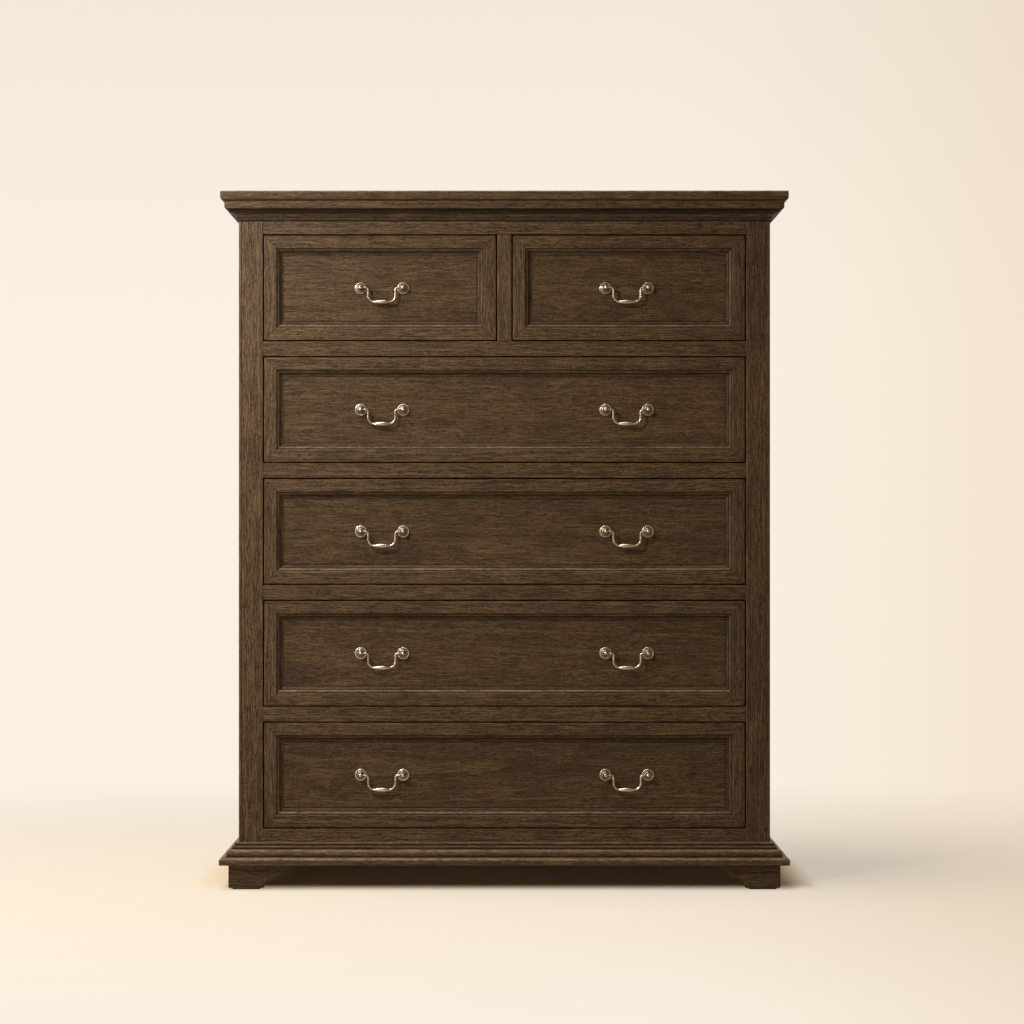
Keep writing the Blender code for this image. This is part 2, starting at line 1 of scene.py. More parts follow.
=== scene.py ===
"""Tallboy in dark stained oak: the looks of every piece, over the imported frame.

Metres, +Z up, the drawers face -Y. Each length of wood is its own piece, with its own place
in the log, its softened arrises and its joints; the handles are turned and bent in brass.
"""

import math
import random

import bmesh
import bpy
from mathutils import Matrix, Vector


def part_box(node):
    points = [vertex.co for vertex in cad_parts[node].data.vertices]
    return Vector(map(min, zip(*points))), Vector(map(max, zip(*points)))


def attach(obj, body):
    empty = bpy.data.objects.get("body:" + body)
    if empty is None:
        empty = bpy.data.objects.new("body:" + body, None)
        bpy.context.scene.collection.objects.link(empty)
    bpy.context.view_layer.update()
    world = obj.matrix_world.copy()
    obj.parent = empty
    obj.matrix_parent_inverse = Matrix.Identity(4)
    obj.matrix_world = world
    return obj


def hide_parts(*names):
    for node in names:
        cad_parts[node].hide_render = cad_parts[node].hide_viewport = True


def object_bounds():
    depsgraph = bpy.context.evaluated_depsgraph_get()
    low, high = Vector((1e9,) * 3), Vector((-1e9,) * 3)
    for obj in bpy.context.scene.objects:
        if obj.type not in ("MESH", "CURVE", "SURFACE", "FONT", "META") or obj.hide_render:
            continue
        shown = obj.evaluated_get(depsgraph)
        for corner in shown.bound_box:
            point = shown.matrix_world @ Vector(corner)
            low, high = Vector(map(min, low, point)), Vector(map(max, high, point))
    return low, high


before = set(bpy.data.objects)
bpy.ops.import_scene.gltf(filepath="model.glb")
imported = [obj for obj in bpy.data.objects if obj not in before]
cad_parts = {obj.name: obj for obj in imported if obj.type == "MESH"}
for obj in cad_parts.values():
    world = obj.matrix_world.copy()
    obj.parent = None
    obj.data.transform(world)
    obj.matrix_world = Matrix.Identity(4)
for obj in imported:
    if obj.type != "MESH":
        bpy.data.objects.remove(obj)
cad_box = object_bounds()

bl_info = {
    "name": "Tallboy",
    "version": (1, 0, 0),
    "blender": (4, 5, 0),
    "location": "3D View > Sidebar > Tallboy",
    "description": "Dresses a tall chest of drawers in stained oak and aged brass",
    "category": "Object",
}

AXES = {"x": 0, "y": 1, "z": 2}
LONG_DRAWERS = ("bottom_drawer", "fourth_drawer", "third_drawer", "second_drawer")
SHORT_DRAWERS = ("top_left_drawer", "top_right_drawer")
HANDLES = [drawer + side for drawer in LONG_DRAWERS for side in ("_left", "_right")]
HANDLES += SHORT_DRAWERS
WEB_FRAMES = ("bottom_frame", "drawer_frame_1", "drawer_frame_2", "drawer_frame_3",
              "drawer_frame_4", "top_frame")
MIDDLE_RUNNERS = ("drawer_frame_4", "top_frame")
BACK_BOARDS = 5

# Facets round a post, a bail's rod and the floor, and the turn up to which edges look smooth
POST_SIDES = 36
BAIL_SIDES = 16
FLOOR_SIDES = 96
SMOOTH_ANGLE = math.radians(40)
SENSOR_WIDTH = 36

# A section's corner that turns by less, in degrees, is part of a curve and stays as it is
SHARP_TURN = 35
# A softened corner takes at most this share of either side of it
CUT_LIMIT = 0.35
# The share of a hollow's stain, partly real stain and partly painted shade, that reaches the points
# beside it
STAIN_SPREAD = 0.7

# A board wider than this is cut within HEART_REACH of the log's heart, a narrower one beyond it
WIDE_BOARD = 0.1
HEART_REACH = 0.05
LOG_REACH = 0.14
# How far along the log a board may lie, how deep below its heart, and the slant of its rings
LOG_LENGTH = 20
LOG_DEPTHS = (0.05, 0.11)
LOG_SLANT = 0.012

# What fibres, short fibres and growth rings each add to the oak's light and dark
FIBRE_SHARE = 0.55
SHORT_SHARE = 0.25
RING_SHARE = 0.20
# How far a board's tone may lie from the others'
BOARD_TONE = 0.07
# How much of the wood each finish hides where it is thickest
PORE_COVER = 0.75
FLECK_COVER = 0.60
RUB_COVER = 0.72
STAIN_COVER = 0.88
TARNISH_COVER = 0.92

# Settings of the nodes that the materials use most
SMOOTHLY = {"interpolation_type": "SMOOTHSTEP"}
TIMES = {"operation": "MULTIPLY"}
PLUS = {"operation": "ADD"}
TIMES_PLUS = {"operation": "MULTIPLY_ADD"}
LESS = {"operation": "SUBTRACT"}
HIGHEST = {"operation": "MAXIMUM"}

# The case's own planes, from the frame
side_low, side_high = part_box("left_side")
case_half = -side_low.x
opening_half = -side_high.x
case_front, case_back = side_low.y, side_high.y
case_bottom, case_top = side_low.z, side_high.z

# Name, place, what it points at, width, height and watts: two keys from the upper left shade
# the front from left to right, low fills soften them, and three lamps light top, floor and side
LAMPS = (
    ("near_key", (-1.0, -0.75, 1.4), (0, case_front, 0.7), 0.4, 0.4, 4.4),
    ("front_key", (-0.9, -1.6, 1.6), (0, case_front, 0.7), 0.16, 0.16, 12.5),
    ("left_fill", (-1.8, -0.42, 0.8), (0, case_front, 0.7), 0.6, 0.5, 4),
    ("high", (-1.2, -0.6, 6.0), (-0.2, 0, 0), 2.4, 2.4, 175),
    ("wash", (-2.4, 0.0, 2.4), (0, 0.1, 0), 1.0, 1.0, 22),
    ("low_front", (-0.7, -2.2, 0.3), (0, case_front, 0.4), 1.4, 0.4, 3.2),
    ("side_fill", (2.2, 0.9, 1.5), (0.4, 0.1, 0.6), 1.0, 1.0, 8),
)


def linear(code):
    """Linear colour of an sRGB hex value."""
    parts = [int(code[i:i + 2], 16) / 255 for i in (1, 3, 5)]
    return [part / 12.92 if part <= 0.04045 else ((part + 0.055) / 1.055) ** 2.4 for part in parts]


def colour(name, description, code):
    return bpy.props.FloatVectorProperty(name=name, description=description, subtype="COLOR",
                                         size=3, min=0, max=1, default=linear(code))


def size(name, description, metres):
    return bpy.props.FloatProperty(name=name, description=description, unit="LENGTH",
                                   precision=5, default=metres)


def share(name, description, value):
    return bpy.props.FloatProperty(name=name, description=description, subtype="FACTOR",
                                   min=0, max=1, default=value)


def amount(name, description, value):
    return bpy.props.FloatProperty(name=name, description=description, default=value)


class TallboyJoinery(bpy.types.PropertyGroup):
    arris: size("Arris", "Softened width of a board's edge", 0.0007)
    fine_arris: size("Fine arris", "Softened width of an edge inside the carcase", 0.0005)
    moulded_arris: size("Moulded arris", "Softened width of cornice and plinth edges", 0.0015)
    fade: size("Fade", "How far wear or stain spreads from an edge", 0.0019)
    worn_radius: size("Worn radius", "Rounds this tight are fully worn", 0.0030)
    # The stain in hollows is partly real stain and partly painted shade
    stain_radius: size("Stain radius", "Hollows this tight are full of stain", 0.0015)
    seam: size("Seam", "Gap between neighbouring pieces", 0.0003)
    mitre_gap: size("Mitre gap", "Gap that shows at a mitred corner", 0.0001)
    sheltered: share("Sheltered wear", "Wear left on arrises flush with their neighbours", 0.25)
    front_frame: size("Front frame", "Flat width of a drawer front's frame", 0.0222)
    corner_bead: size("Corner bead", "Width of the bead on the case's front corners", 0.0050)
    bead_quirk: size("Bead quirk", "Width and depth of the line beside the corner bead", 0.0009)
    stile_depth: size("Stile depth", "Depth of the front corner stiles", 0.028)
    side_thickness: size("Side thickness", "Thickness of the side frames", 0.020)
    side_stile: size("Side stile", "Width of the side frames' stiles", 0.060)
    side_top_rail: size("Side top rail", "Width of the side frames' top rails", 0.090)
    side_bottom_rail: size("Side bottom rail", "Width of the side frames' bottom rails", 0.105)
    panel_thickness: size("Panel thickness", "Thickness of a sunk panel", 0.008)
    wall: size("Drawer wall", "Thickness of a drawer's sides", 0.012)
    bottom: size("Drawer bottom", "Thickness of a drawer's bottom", 0.006)
    bottom_rise: size("Bottom rise", "Height of the bottom above the sides' lower edge", 0.009)
    back_drop: size("Back drop", "How far a drawer's back is below its sides", 0.012)
    tail_pitch: size("Tail pitch", "Spacing of the dovetails", 0.034)
    pin_width: size("Pin width", "Narrow width of a dovetail pin", 0.006)
    pin_flare: size("Pin flare", "How much wider a pin is at its root, on each side", 0.0018)


class TallboyMouldings(bpy.types.PropertyGroup):
    top_upper_round: size("Top's upper round", "Radius of the top board's upper edge", 0.0025)
    top_lower_round: size("Top's lower round", "Radius of the top board's lower edge", 0.0050)
    bead_projection: size("Cornice bead", "Projection of the cornice's lowest member", 0.0035)
    bead_height: size("Cornice bead height", "Height of the cornice's lowest member", 0.0045)
    # The quirk is painted fully dark as the shadow under the bead
    bead_quirk: size("Cornice quirk", "Height of the dark line under the cornice's bead", 0.0027)
    bead_step: size("Cornice bead step", "How far the hollow starts behind the bead", 0.0015)
    cove_run: size("Cornice cove run", "How far the cornice's hollow comes forward", 0.0125)
    cove_rise: size("Cornice cove rise", "How far the cornice's hollow climbs", 0.0117)
    cove_sag: size("Cornice cove sag", "Depth of the cornice's hollow", 0.0024)
    # The groove is painted fully dark as the shade under the ovolo
    groove_projection: size("Cornice groove", "Projection of the groove over the hollow", 0.0150)
    groove_height: size("Cornice groove height", "Height of the groove over the hollow", 0.0032)
    fillet_projection: size("Cornice fillet", "Projection of the edge over the groove", 0.0168)
    face_projection: size("Cornice face", "Projection of the cornice's upright face", 0.0230)
    face_rise: size("Cornice ovolo rise", "Height of the quarter round under the face", 0.0036)
    plinth_projection: size("Plinth", "Projection of the plinth moulding", 0.0320)
    plinth_edge: size("Plinth edge", "Height of the plinth's upright edge", 0.0090)
    nose_run: size("Plinth nose run", "Width of the round over the plinth's edge", 0.0075)
    nose_rise: size("Plinth nose rise", "Height of the round over the plinth's edge", 0.0045)
    ovolo_projection: size("Plinth ovolo", "Projection of the plinth's quarter round", 0.0192)
    ovolo_flat: size("Plinth ovolo flat", "Upright below the quarter round", 0.0045)
    ovolo_run: size("Plinth ovolo run", "Width of the quarter round", 0.0056)
    ovolo_rise: size("Plinth ovolo rise", "Height of the quarter round", 0.0085)
    lower_step: size("Plinth lower step", "Projection of the lower step", 0.0103)
    lower_step_height: size("Plinth lower step height", "Height of the lower step", 0.0060)
    upper_step: size("Plinth upper step", "Projection of the upper step", 0.0065)
    quirk: size("Panel quirk", "Drop at the outside of a panel's moulding", 0.0022)
    ovolo_width: size("Panel ovolo width", "Width of a panel moulding's quarter round", 0.0055)
    ovolo_depth: size("Panel ovolo depth", "Depth of a panel moulding's quarter round", 0.0035)
    panel_fillet: size("Panel fillet", "Flat between a panel's round and hollow", 0.0013)
    cove_width: size("Panel cove width", "Width of a panel moulding's hollow", 0.0042)
    cove_depth: size("Panel cove depth", "Depth of a panel moulding's hollow", 0.0028)


class TallboyFeet(bpy.types.PropertyGroup):
    thickness: size("Bracket thickness", "Thickness of the bracket feet", 0.020)
    base: size("Base width", "Width of a bracket where it stands", 0.062)
    top: size("Top width", "Width of a bracket under the plinth", 0.1150)
    arch_run: size("Arch run", "Width of the hollow beside the base", 0.022)
    arch_rise: size("Arch rise", "Height of the hollow beside the base", 0.0235)
    swell: size("Swell", "How far the slant over the hollow swells", 0.0015)
    block: size("Block width", "Width of the glue block in the corner", 0.034)
    block_lift: size("Block lift", "Gap under the glue block", 0.0040)
    pad: size("Pad thickness", "Thickness of the felt pad under each foot", 0.0028)
    pad_inset: size("Pad inset", "How far the pad stays inside the foot", 0.0065)


class TallboyWebs(bpy.types.PropertyGroup):
    height: size("Web height", "Thickness of the frames that the drawers run on", 0.0263)
    runner: size("Runner width", "Width of the runners", 0.055)
    front: size("Front width", "Depth of the rail and the member behind it", 0.070)
    back: size("Back width", "Depth of the rear member", 0.055)
    middle: size("Middle runner width", "Width of the runner under the short drawers", 0.080)
    dust_panel: size("Dust panel", "Thickness of the dust panels", 0.006)
    guide: size("Guide height", "Height of the drawer guides", 0.012)
    stop: size("Stop depth", "Depth of the drawer stops", 0.012)
    stop_reach: size("Stop reach", "How far the stops stand behind the drawer", 0.020)


class TallboyHandles(bpy.types.PropertyGroup):
    rosette_radius: size("Rosette radius", "Radius of the turned rosette", 0.0110)
    rosette_rim: size("Rosette rim", "Radius of the rosette's rolled rim", 0.0016)
    collar_radius: size("Collar radius", "Radius of the bead in the rosette's middle", 0.0057)
    collar_foot: size("Collar foot", "Height where the bead starts", 0.0034)
    collar_top: size("Collar top", "Height where the bead ends", 0.0062)
    neck_radius: size("Neck radius", "Radius of the neck behind the ball", 0.0029)
    ball_radius: size("Ball radius", "Radius of the ball that holds the bail", 0.0044)
    reach: size("Post reach", "Distance from the panel to the ball's middle", 0.0140)
    pin_radius: size("Pin radius", "Radius of the bail's pins", 0.0015)
    pin_depth: size("Pin depth", "How deep a pin goes into the ball", 0.0030)
    pin_gap: size("Pin gap", "Gap between the ball and the bail's shoulder", 0.0005)
    rod_radius: size("Rod radius", "Radius of the bail's rod", 0.0020)
    arm_spacing: size("Arm spacing", "Distance between the bail's arms", 0.0486)
    shoulder: size("Shoulder", "Radius of the bend beside the ball", 0.0042)
    corner: size("Corner", "Radius of the bend beside the grip", 0.0120)
    drop: size("Drop", "Height of the posts over the grip", 0.0258)
    grip_radius: size("Grip radius", "Radius at the middle of the grip", 0.0042)
    grip_length: size("Grip length", "Length over which the rod swells", 0.0305)


class TallboyStainedOak(bpy.types.PropertyGroup):
    ground: colour("Ground", "Stained wood between the fibres", "#4D381E")
    light: colour("Light fibres", "Raised fibres that took less stain", "#7E6346")
    dark: colour("Dark fibres", "Soft fibres that took more stain", "#382715")
    pore: colour("Pores", "Open pores that hold the stain", "#20160D")
    # The worn colour is also a painted highlight on arrises that face up
    worn: colour("Worn arris", "Edges rubbed back towards bare wood", "#BD9C78")
    # The filled colour is stain in hollows and also painted shade in hollows and on undersides
    filled: colour("Filled hollow", "Stain and wax gathered in hollows", "#150F09")
    roughness: share("Roughness", "Waxed surface", 0.50)
    wear: amount("Wear", "How much of an arris is rubbed through", 1.0)


class TallboyPlanedOak(bpy.types.PropertyGroup):
    ground: colour("Ground", "Planed wood between the fibres", "#A98860")
    light: colour("Light fibres", "Hard pale fibres", "#C4A67E")
    dark: colour("Dark fibres", "Darker late wood", "#86683F")
    pore: colour("Pores", "Open pores", "#5C4429")
    # The worn colour is also a painted highlight on arrises that face up
    worn: colour("Worn arris", "Rubbed edges", "#C9AE88")
    # The filled colour is dust and glue, and also painted shade in hollows and on undersides
    filled: colour("Filled hollow", "Dust and glue in the joints", "#4A3621")
    roughness: share("Roughness", "Planed surface without finish", 0.68)
    wear: amount("Wear", "How much of an arris is rubbed", 0.5)


class TallboyFigure(bpy.types.PropertyGroup):
    fibre_length: size("Fibre length", "Length of a streak of fibres", 0.045)
    short_length: size("Short fibre length", "Length of the short fibres between them", 0.004)
    fibre_width: size("Fibre width", "Width of a streak of fibres", 0.0012)
    pore_length: size("Pore length", "Length of an open pore", 0.010)
    pore_width: size("Pore width", "Width of an open pore", 0.0011)
    ring_width: size("Ring width", "Growth of the tree in one year", 0.0034)
    fleck_length: size("Ray fleck length", "Length of a ray fleck", 0.018)
    fleck_width: size("Ray fleck width", "Spacing of the ray flecks", 0.0034)
    drift_length: size("Drift length", "Distance over which the fibres wander", 0.110)
    drift: size("Drift", "How far the fibres wander", 0.0050)
    blotch: size("Blotch", "Size of the uneven patches of stain", 0.075)
    rub_length: size("Rub length", "Length of one rubbed place on an arris", 0.014)
    narrow_bold: amount("Narrow boards", "How much stronger the figure of a narrow board is", 1.5)
    relief: size("Relief", "Height of the raised grain", 0.00022)


class TallboyBrass(bpy.types.PropertyGroup):
    polished: colour("Polished brass", "Pale brass where hands keep it bright", "#E6D6C2")
    aged: colour("Aged brass", "Brown film over the rest", "#BFA88A")
    # The tarnish colour also serves as painted shade underneath and on the balls' sides
    tarnish: colour("Tarnish", "Dark film in the hollows and underneath", "#1C140D")
    roughness: share("Roughness", "Hand-rubbed casting", 0.25)
    patch: size("Patch", "Size of the patches of film", 0.006)
    pit: size("Pit", "Size of the casting's fine pits", 0.0009)
    relief: size("Relief", "Depth of the casting's pits", 0.00004)


class TallboyStage(bpy.types.PropertyGroup):
    distance: size("Camera distance", "From the camera to the case's front", 4.5)
    height: size("Camera height", "Height of the camera over the floor", 0.646)
    focal_length: amount("Focal length", "Focal length in millimetres", 88.5)
    shift_x: amount("Shift X", "Sideways shift of the frame", 0.0074)
    shift_y: amount("Shift Y", "Upward shift of the frame", 0.0146)
    backdrop: colour("Backdrop", "Seamless paper behind the chest", "#FBF1E2")
    # Far side and upper dimming paint the paper darker away from the lamps: a painted falloff of
    # light
    far_side: colour("Far side", "The same paper away from the lamps", "#EFDDC5")
    floor: colour("Floor", "The same paper lying flat", "#F2E0C6")
    upper_dim: share("Upper dimming", "Light left on the top of the paper", 0.91)
    floor_radius: size("Floor radius", "Radius of the seamless floor", 14.0)
    floor_fade: size("Floor fade", "Distance over which the floor turns into backdrop", 1.6)
    floor_light: share("Floor light", "Part of the floor's look that shows its light", 0.42)
    shade_edge: size("Shade edge", "Width over which the deep shade under the chest fades", 0.09)
    shade_side: size("Shade side", "How far that shade stops short at the chest's ends", 0.02)
    # The share of backdrop glow kept under the chest, faded by position as painted shade
    shade_floor: share("Deep shade", "Light left in the deepest shade under the chest", 0.0155)
    # A painted shade colour, laid on the floor under the chest
    painted_shade_tint: colour("Shade tint", "Warm tone of the light under the chest", "#FFD69E")
    lamp_tint: colour("Lamp tint", "Slightly warm light of every lamp", "#FFF9F0")
    room: share("Room", "Brightness of the studio on the camera's side, as metal shows it", 0.26)
    bounce: share("Bounce", "How pale the floor is to the light that it sends back up", 0.35)
    ambient: amount("Ambient", "Strength of the even light from all round", 0.02)


GROUPS = {
    "tallboy_joinery": TallboyJoinery,
    "tallboy_mouldings": TallboyMouldings,
    "tallboy_feet": TallboyFeet,
    "tallboy_webs": TallboyWebs,
    "tallboy_handles": TallboyHandles,
    "tallboy_stained_oak": TallboyStainedOak,
    "tallboy_planed_oak": TallboyPlanedOak,
    "tallboy_figure": TallboyFigure,
    "tallboy_brass": TallboyBrass,
    "tallboy_stage": TallboyStage,
}


# Sections and shells

def arc(centre, radii, start, end, steps=8):
    """Points on an ellipse's arc, angles in degrees."""
    angles = [math.radians(start + (end - start) * i / steps) for i in range(steps + 1)]
    return [(centre[0] + radii[0] * math.cos(angle), centre[1] + radii[1] * math.sin(angle))
            for angle in angles]


def rectangle(u0, u1, v0, v1):
    return [(u0, v0), (u1, v0), (u1, v1), (u0, v1)]


def softened(spots, cut, fade, closed):
    """Turns sharp outer corners into small rounds, with a plain point near each corner."""
    points = []
    last = len(spots) - 1
    for i, spot in enumerate(spots):
        if not closed and i in (0, last):
            points.append(spot)
            continue
        arrive = spot - spots[i - 1]
        leave = spots[(i + 1) % len(spots)] - spot
        turn = math.degrees(math.atan2(arrive.cross(leave), arrive.dot(leave)))
        if abs(turn) < SHARP_TURN:
            points.append(spot)
            continue
        shorter = min(arrive.length, leave.length)
        reach = min(cut, CUT_LIMIT * shorter) if turn > 0 else 0.0
        before = spot - arrive.normalized() * reach
        after = spot + leave.normalized() * reach
        if arrive.length > 2 * (reach + fade):
            points.append(before - arrive.normalized() * fade)
        if reach:
            points += [before, (before + after) / 4 + spot / 2, after]
        else:
            points.append(spot)
        if leave.length > 2 * (reach + fade):
            points.append(after + leave.normalized() * fade)
    return points


def dress(corners, arris=None, closed=True):
    """A section ready for use: points (u, v, wear, stain).

    Tight rounds are worn, and tight hollows hold stain, which is also painted shade there. The
    wood lies to the left of the outline, and a closed outline that runs the other way is turned
    round.
    """
    joinery = bpy.context.scene.tallboy_joinery
    spots = [Vector(corner) for corner in corners]
    if closed and sum(spots[i - 1].cross(spots[i]) for i in range(len(spots))) < 0:
        spots.reverse()
    cut = joinery.arris if arris is None else arris
    spots = softened(spots, cut, joinery.fade, closed)
    dressed = []
    for i, spot in enumerate(spots):
        bend = 0.0
        if closed or 0 < i < len(spots) - 1:
            arrive = spot - spots[i - 1]
            leave = spots[(i + 1) % len(spots)] - spot
            turn = math.atan2(arrive.cross(leave), arrive.dot(leave))
            bend = 2 * turn / (arrive.length + leave.length)
        wear = min(1.0, max(0.0, bend * joinery.worn_radius))
        stain = min(1.0, max(0.0, -bend * joinery.stain_radius))
        dressed.append((spot.x, spot.y, wear, stain))
    finished = []
    for i, (u, v, wear, stain) in enumerate(dressed):
        beside = max(dressed[i - 1][3], dressed[(i + 1) % len(dressed)][3])
        finished.append((u, v, wear, max(stain, STAIN_SPREAD * beside)))
    return finished


def inward(section):
    """Unit directions into the wood at each point of a closed section."""
    directions = []
    for i in range(len(section)):
        before, after = section[i - 1], section[(i + 1) % len(section)]
        along = Vector((after[0] - before[0], after[1] - before[1])).normalized()
        directions.append((-along.y, along.x))
    return directions


def skin(rings, count):
    """Faces that join rings of count points, closed at both ends."""
    faces = []
    for ring in range(rings - 1):
        for i in range(count):
            j = (i + 1) % count
            low, high = ring * count, (ring + 1) * count
            faces.append((low + i, low + j, high + j, high + i))
    faces.append(tuple(range(count)))
    faces.append(tuple(range((rings - 1) * count, rings * count)))
    return faces


def free_end(arris):
    """Stations of a bare end: distance from it, inset, wear and stain.

    The inset is half the arris, so that the end face of a stepped section doesn't fold.
    """
    fade = bpy.context.scene.tallboy_joinery.fade
    return [(0, arris * 0.5, 0.3, 0), (arris * 0.3, arris * 0.15, 1, 0), (arris, 0, 0.5, 0),
            (arris + fade, 0, 0, 0)]


def sawn_end():
    """Stations of an end sawn square, with a sharp edge."""
    return [(0, 0, 0.2, 0), (bpy.context.scene.tallboy_joinery.fade, 0, 0, 0)]


def joint_end():
    """Stations of an end that meets another piece, where stain gathers."""
    fade = bpy.context.scene.tallboy_joinery.fade
    return [(0, 0, 0, 0.9), (fade * 0.2, 0, 0, 0.4), (fade * 0.8, 0, 0, 0)]


def sweep(section, start, end, place, ends, mitres=(0.0, 0.0)):
    """Carries a dressed section from start to end, as points, faces and handling.

    place turns (distance, u, v) into a point. A mitre moves an end by that share of u.
    """
    points, handling = [], []
    directions = inward(section)
    stations = [(False, *station) for station in ends[0]]
    stations += [(True, *station) for station in reversed(ends[1])]
    for at_end, distance, inset, wear, stain in stations:
        for (u, v, edge_wear, edge_stain), (into_u, into_v) in zip(section, directions):
            w = start + mitres[0] * u + distance
            if at_end:
                w = end - mitres[1] * u - distance
            points.append(place(w, u + into_u * inset, v + into_v * inset))
            # The end face itself keeps clear of what its corners hold
            if distance:
                handling.append((max(wear, edge_wear), max(stain, edge_stain)))
            else:
                handling.append((wear, stain))
    return points, skin(len(stations), len(section)), handling


def plank(corner, opposite, grain, arris=None, end=None):
    """A rectangular board between two opposite corners, its fibres along grain's first axis."""
    joinery = bpy.context.scene.tallboy_joinery
    cut = joinery.arris if arris is None else arris
    low = [min(pair) for pair in zip(corner, opposite)]
    high = [max(pair) for pair in zip(corner, opposite)]
    along, across, through = (AXES[axis] for axis in grain)

    def place(w, u, v):
        point = [0.0, 0.0, 0.0]
        point[along], point[across], point[through] = w, u, v
        return point

    corners = rectangle(low[across], high[across], low[through], high[through])
    finish = end or free_end(cut)
    return sweep(dress(corners, cut), low[along], high[along], place, (finish, finish))


def joined(shells):
    """Several shells as one."""
    points, faces, handling = [], [], []
    for shell_points, shell_faces, shell_handling in shells:
        first = len(points)
        points += shell_points
        faces += [tuple(first + i for i in face) for face in shell_faces]
        handling += shell_handling
    return points, faces, handling


def sheltered(shell):
    """A shell whose arrises lie flush with their neighbours, so little wear reaches them."""
    left = bpy.context.scene.tallboy_joinery.sheltered
    points, faces, handling = shell
    return points, faces, [(wear * left, stain) for wear, stain in handling]


def set_in(shell):
    """A shell whose edges sit in a joint: they hold stain where bare ones would be worn."""
    points, faces, handling = shell
    return points, faces, [(0.0, max(wear, stain)) for wear, stain in handling]


# Pieces

def closed_mesh(name, points, faces):
    mesh = bpy.data.meshes.new(name)
    mesh.from_pydata(points, [], faces)
    bm = bmesh.new()
    bm.from_mesh(mesh)
    bmesh.ops.recalc_face_normals(bm, faces=bm.faces)
    bm.to_mesh(mesh)
    bm.free()
    mesh.shade_smooth()
    mesh.set_sharp_from_angle(angle=SMOOTH_ANGLE)
    return mesh


def store(mesh, name, vectors):
    """Keeps a vector at each point of a mesh for its material."""
    layer = mesh.attributes.new(name, "FLOAT_VECTOR", "POINT")
    layer.data.foreach_set("vector", [value for vector in vectors for value in vector])


def set_piece(name, mesh, material, body, nodes):
    """Puts a mesh in the scene as a piece that rides on a body and stands for CAD nodes."""
    piece = bpy.data.objects.new(name, mesh)
    bpy.context.scene.collection.objects.link(piece)
    mesh.materials.append(material)
    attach(piece, body)
    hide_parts(*nodes)
    return piece


def oak_piece(name, shell, grain, body, nodes, stained=True):
    """One piece of oak, with its place in the log.

    grain names its axes in order: along the fibres, across the face and through it. A wide
    board is cut near the log's heart and shows arches, and a narrow one is cut beside it.
    """
    points, faces, handling = shell
    mesh = closed_mesh(name, points, faces)
    chance = random.Random(name)
    axes = [AXES[axis] for axis in grain]
    spans = [[point[axis] for point in points] for axis in axes]
    middles = [(min(span) + max(span)) / 2 for span in spans]
    wide = max(spans[1]) - min(spans[1]) > WIDE_BOARD
    if wide:
        beside = chance.uniform(-HEART_REACH, HEART_REACH)
    else:
        beside = chance.choice((-1, 1)) * chance.uniform(HEART_REACH, LOG_REACH)
    log = (chance.uniform(0, LOG_LENGTH), beside, chance.uniform(*LOG_DEPTHS))
    store(mesh, "grain_at", [[point[axis] - middle + shift for axis, middle, shift
                              in zip(axes, middles, log)] for point in points])
    tone = chance.uniform(-1, 1)
    bold = 1.0 if wide else bpy.context.scene.tallboy_figure.narrow_bold
    store(mesh, "handling", [(wear, stain, tone) for wear, stain in handling])
    store(mesh, "figure", [(bold, 0, 0)] * len(points))
    material = oak("stained_oak") if stained else oak("planed_oak")
    return set_piece(name, mesh, material, body, nodes)


# Materials

def node(tree, kind, inputs=(), **settings):
    """Adds a node with its settings, feeds its inputs and gives its outputs."""
    made = tree.nodes.new("ShaderNode" + kind)
    for name, value in settings.items():
        setattr(made, name, value)
    feed(tree, made, inputs if isinstance(inputs, dict) else dict(enumerate(inputs)))
    return made.outputs


def feed(tree, target, inputs):
    """Gives each input of a node, by its name or number, a value or a link."""
    for key, value in inputs.items():
        if isinstance(value, bpy.types.NodeSocket):
            tree.links.new(value, target.inputs[key])
        else:
            target.inputs[key].default_value = value


def coated(tree, surface, *coats):
    """A colour with others laid over it in turn, each by its own share."""
    for cover, coat in coats:
        under, over = (tone if isinstance(tone, bpy.types.NodeSocket) else (*tone, 1)
                       for tone in (surface, coat))
        surface = node(tree, "Mix", {0: cover, 6: under, 7: over}, data_type="RGBA")[2]
    return surface


def bare_material(name):
    """A new material's node tree with its Principled shader."""
    material = bpy.data.materials.new(name)
    material.use_nodes = True
    tree = material.node_tree
    return material, tree, tree.nodes["Principled BSDF"]


def streaks(tree, place, length, width, detail=2.0, output=0):
    """Noise drawn out along the fibres: its cells are length by width by width."""
    cells = node(tree, "VectorMath", (place, (1 / length, 1 / width, 1 / width)), **TIMES)[0]
    noise = {"Vector": cells, "Scale": 1.0, "Detail": detail, "Roughness": 0.6}
    return node(tree, "TexNoise", noise)[output]


def facing_up(tree):
    """How far a surface faces up: 1 on top, 0 on a side and -1 underneath."""
    facing = node(tree, "NewGeometry")["Normal"]
    return node(tree, "SeparateXYZ", (facing,))[2]


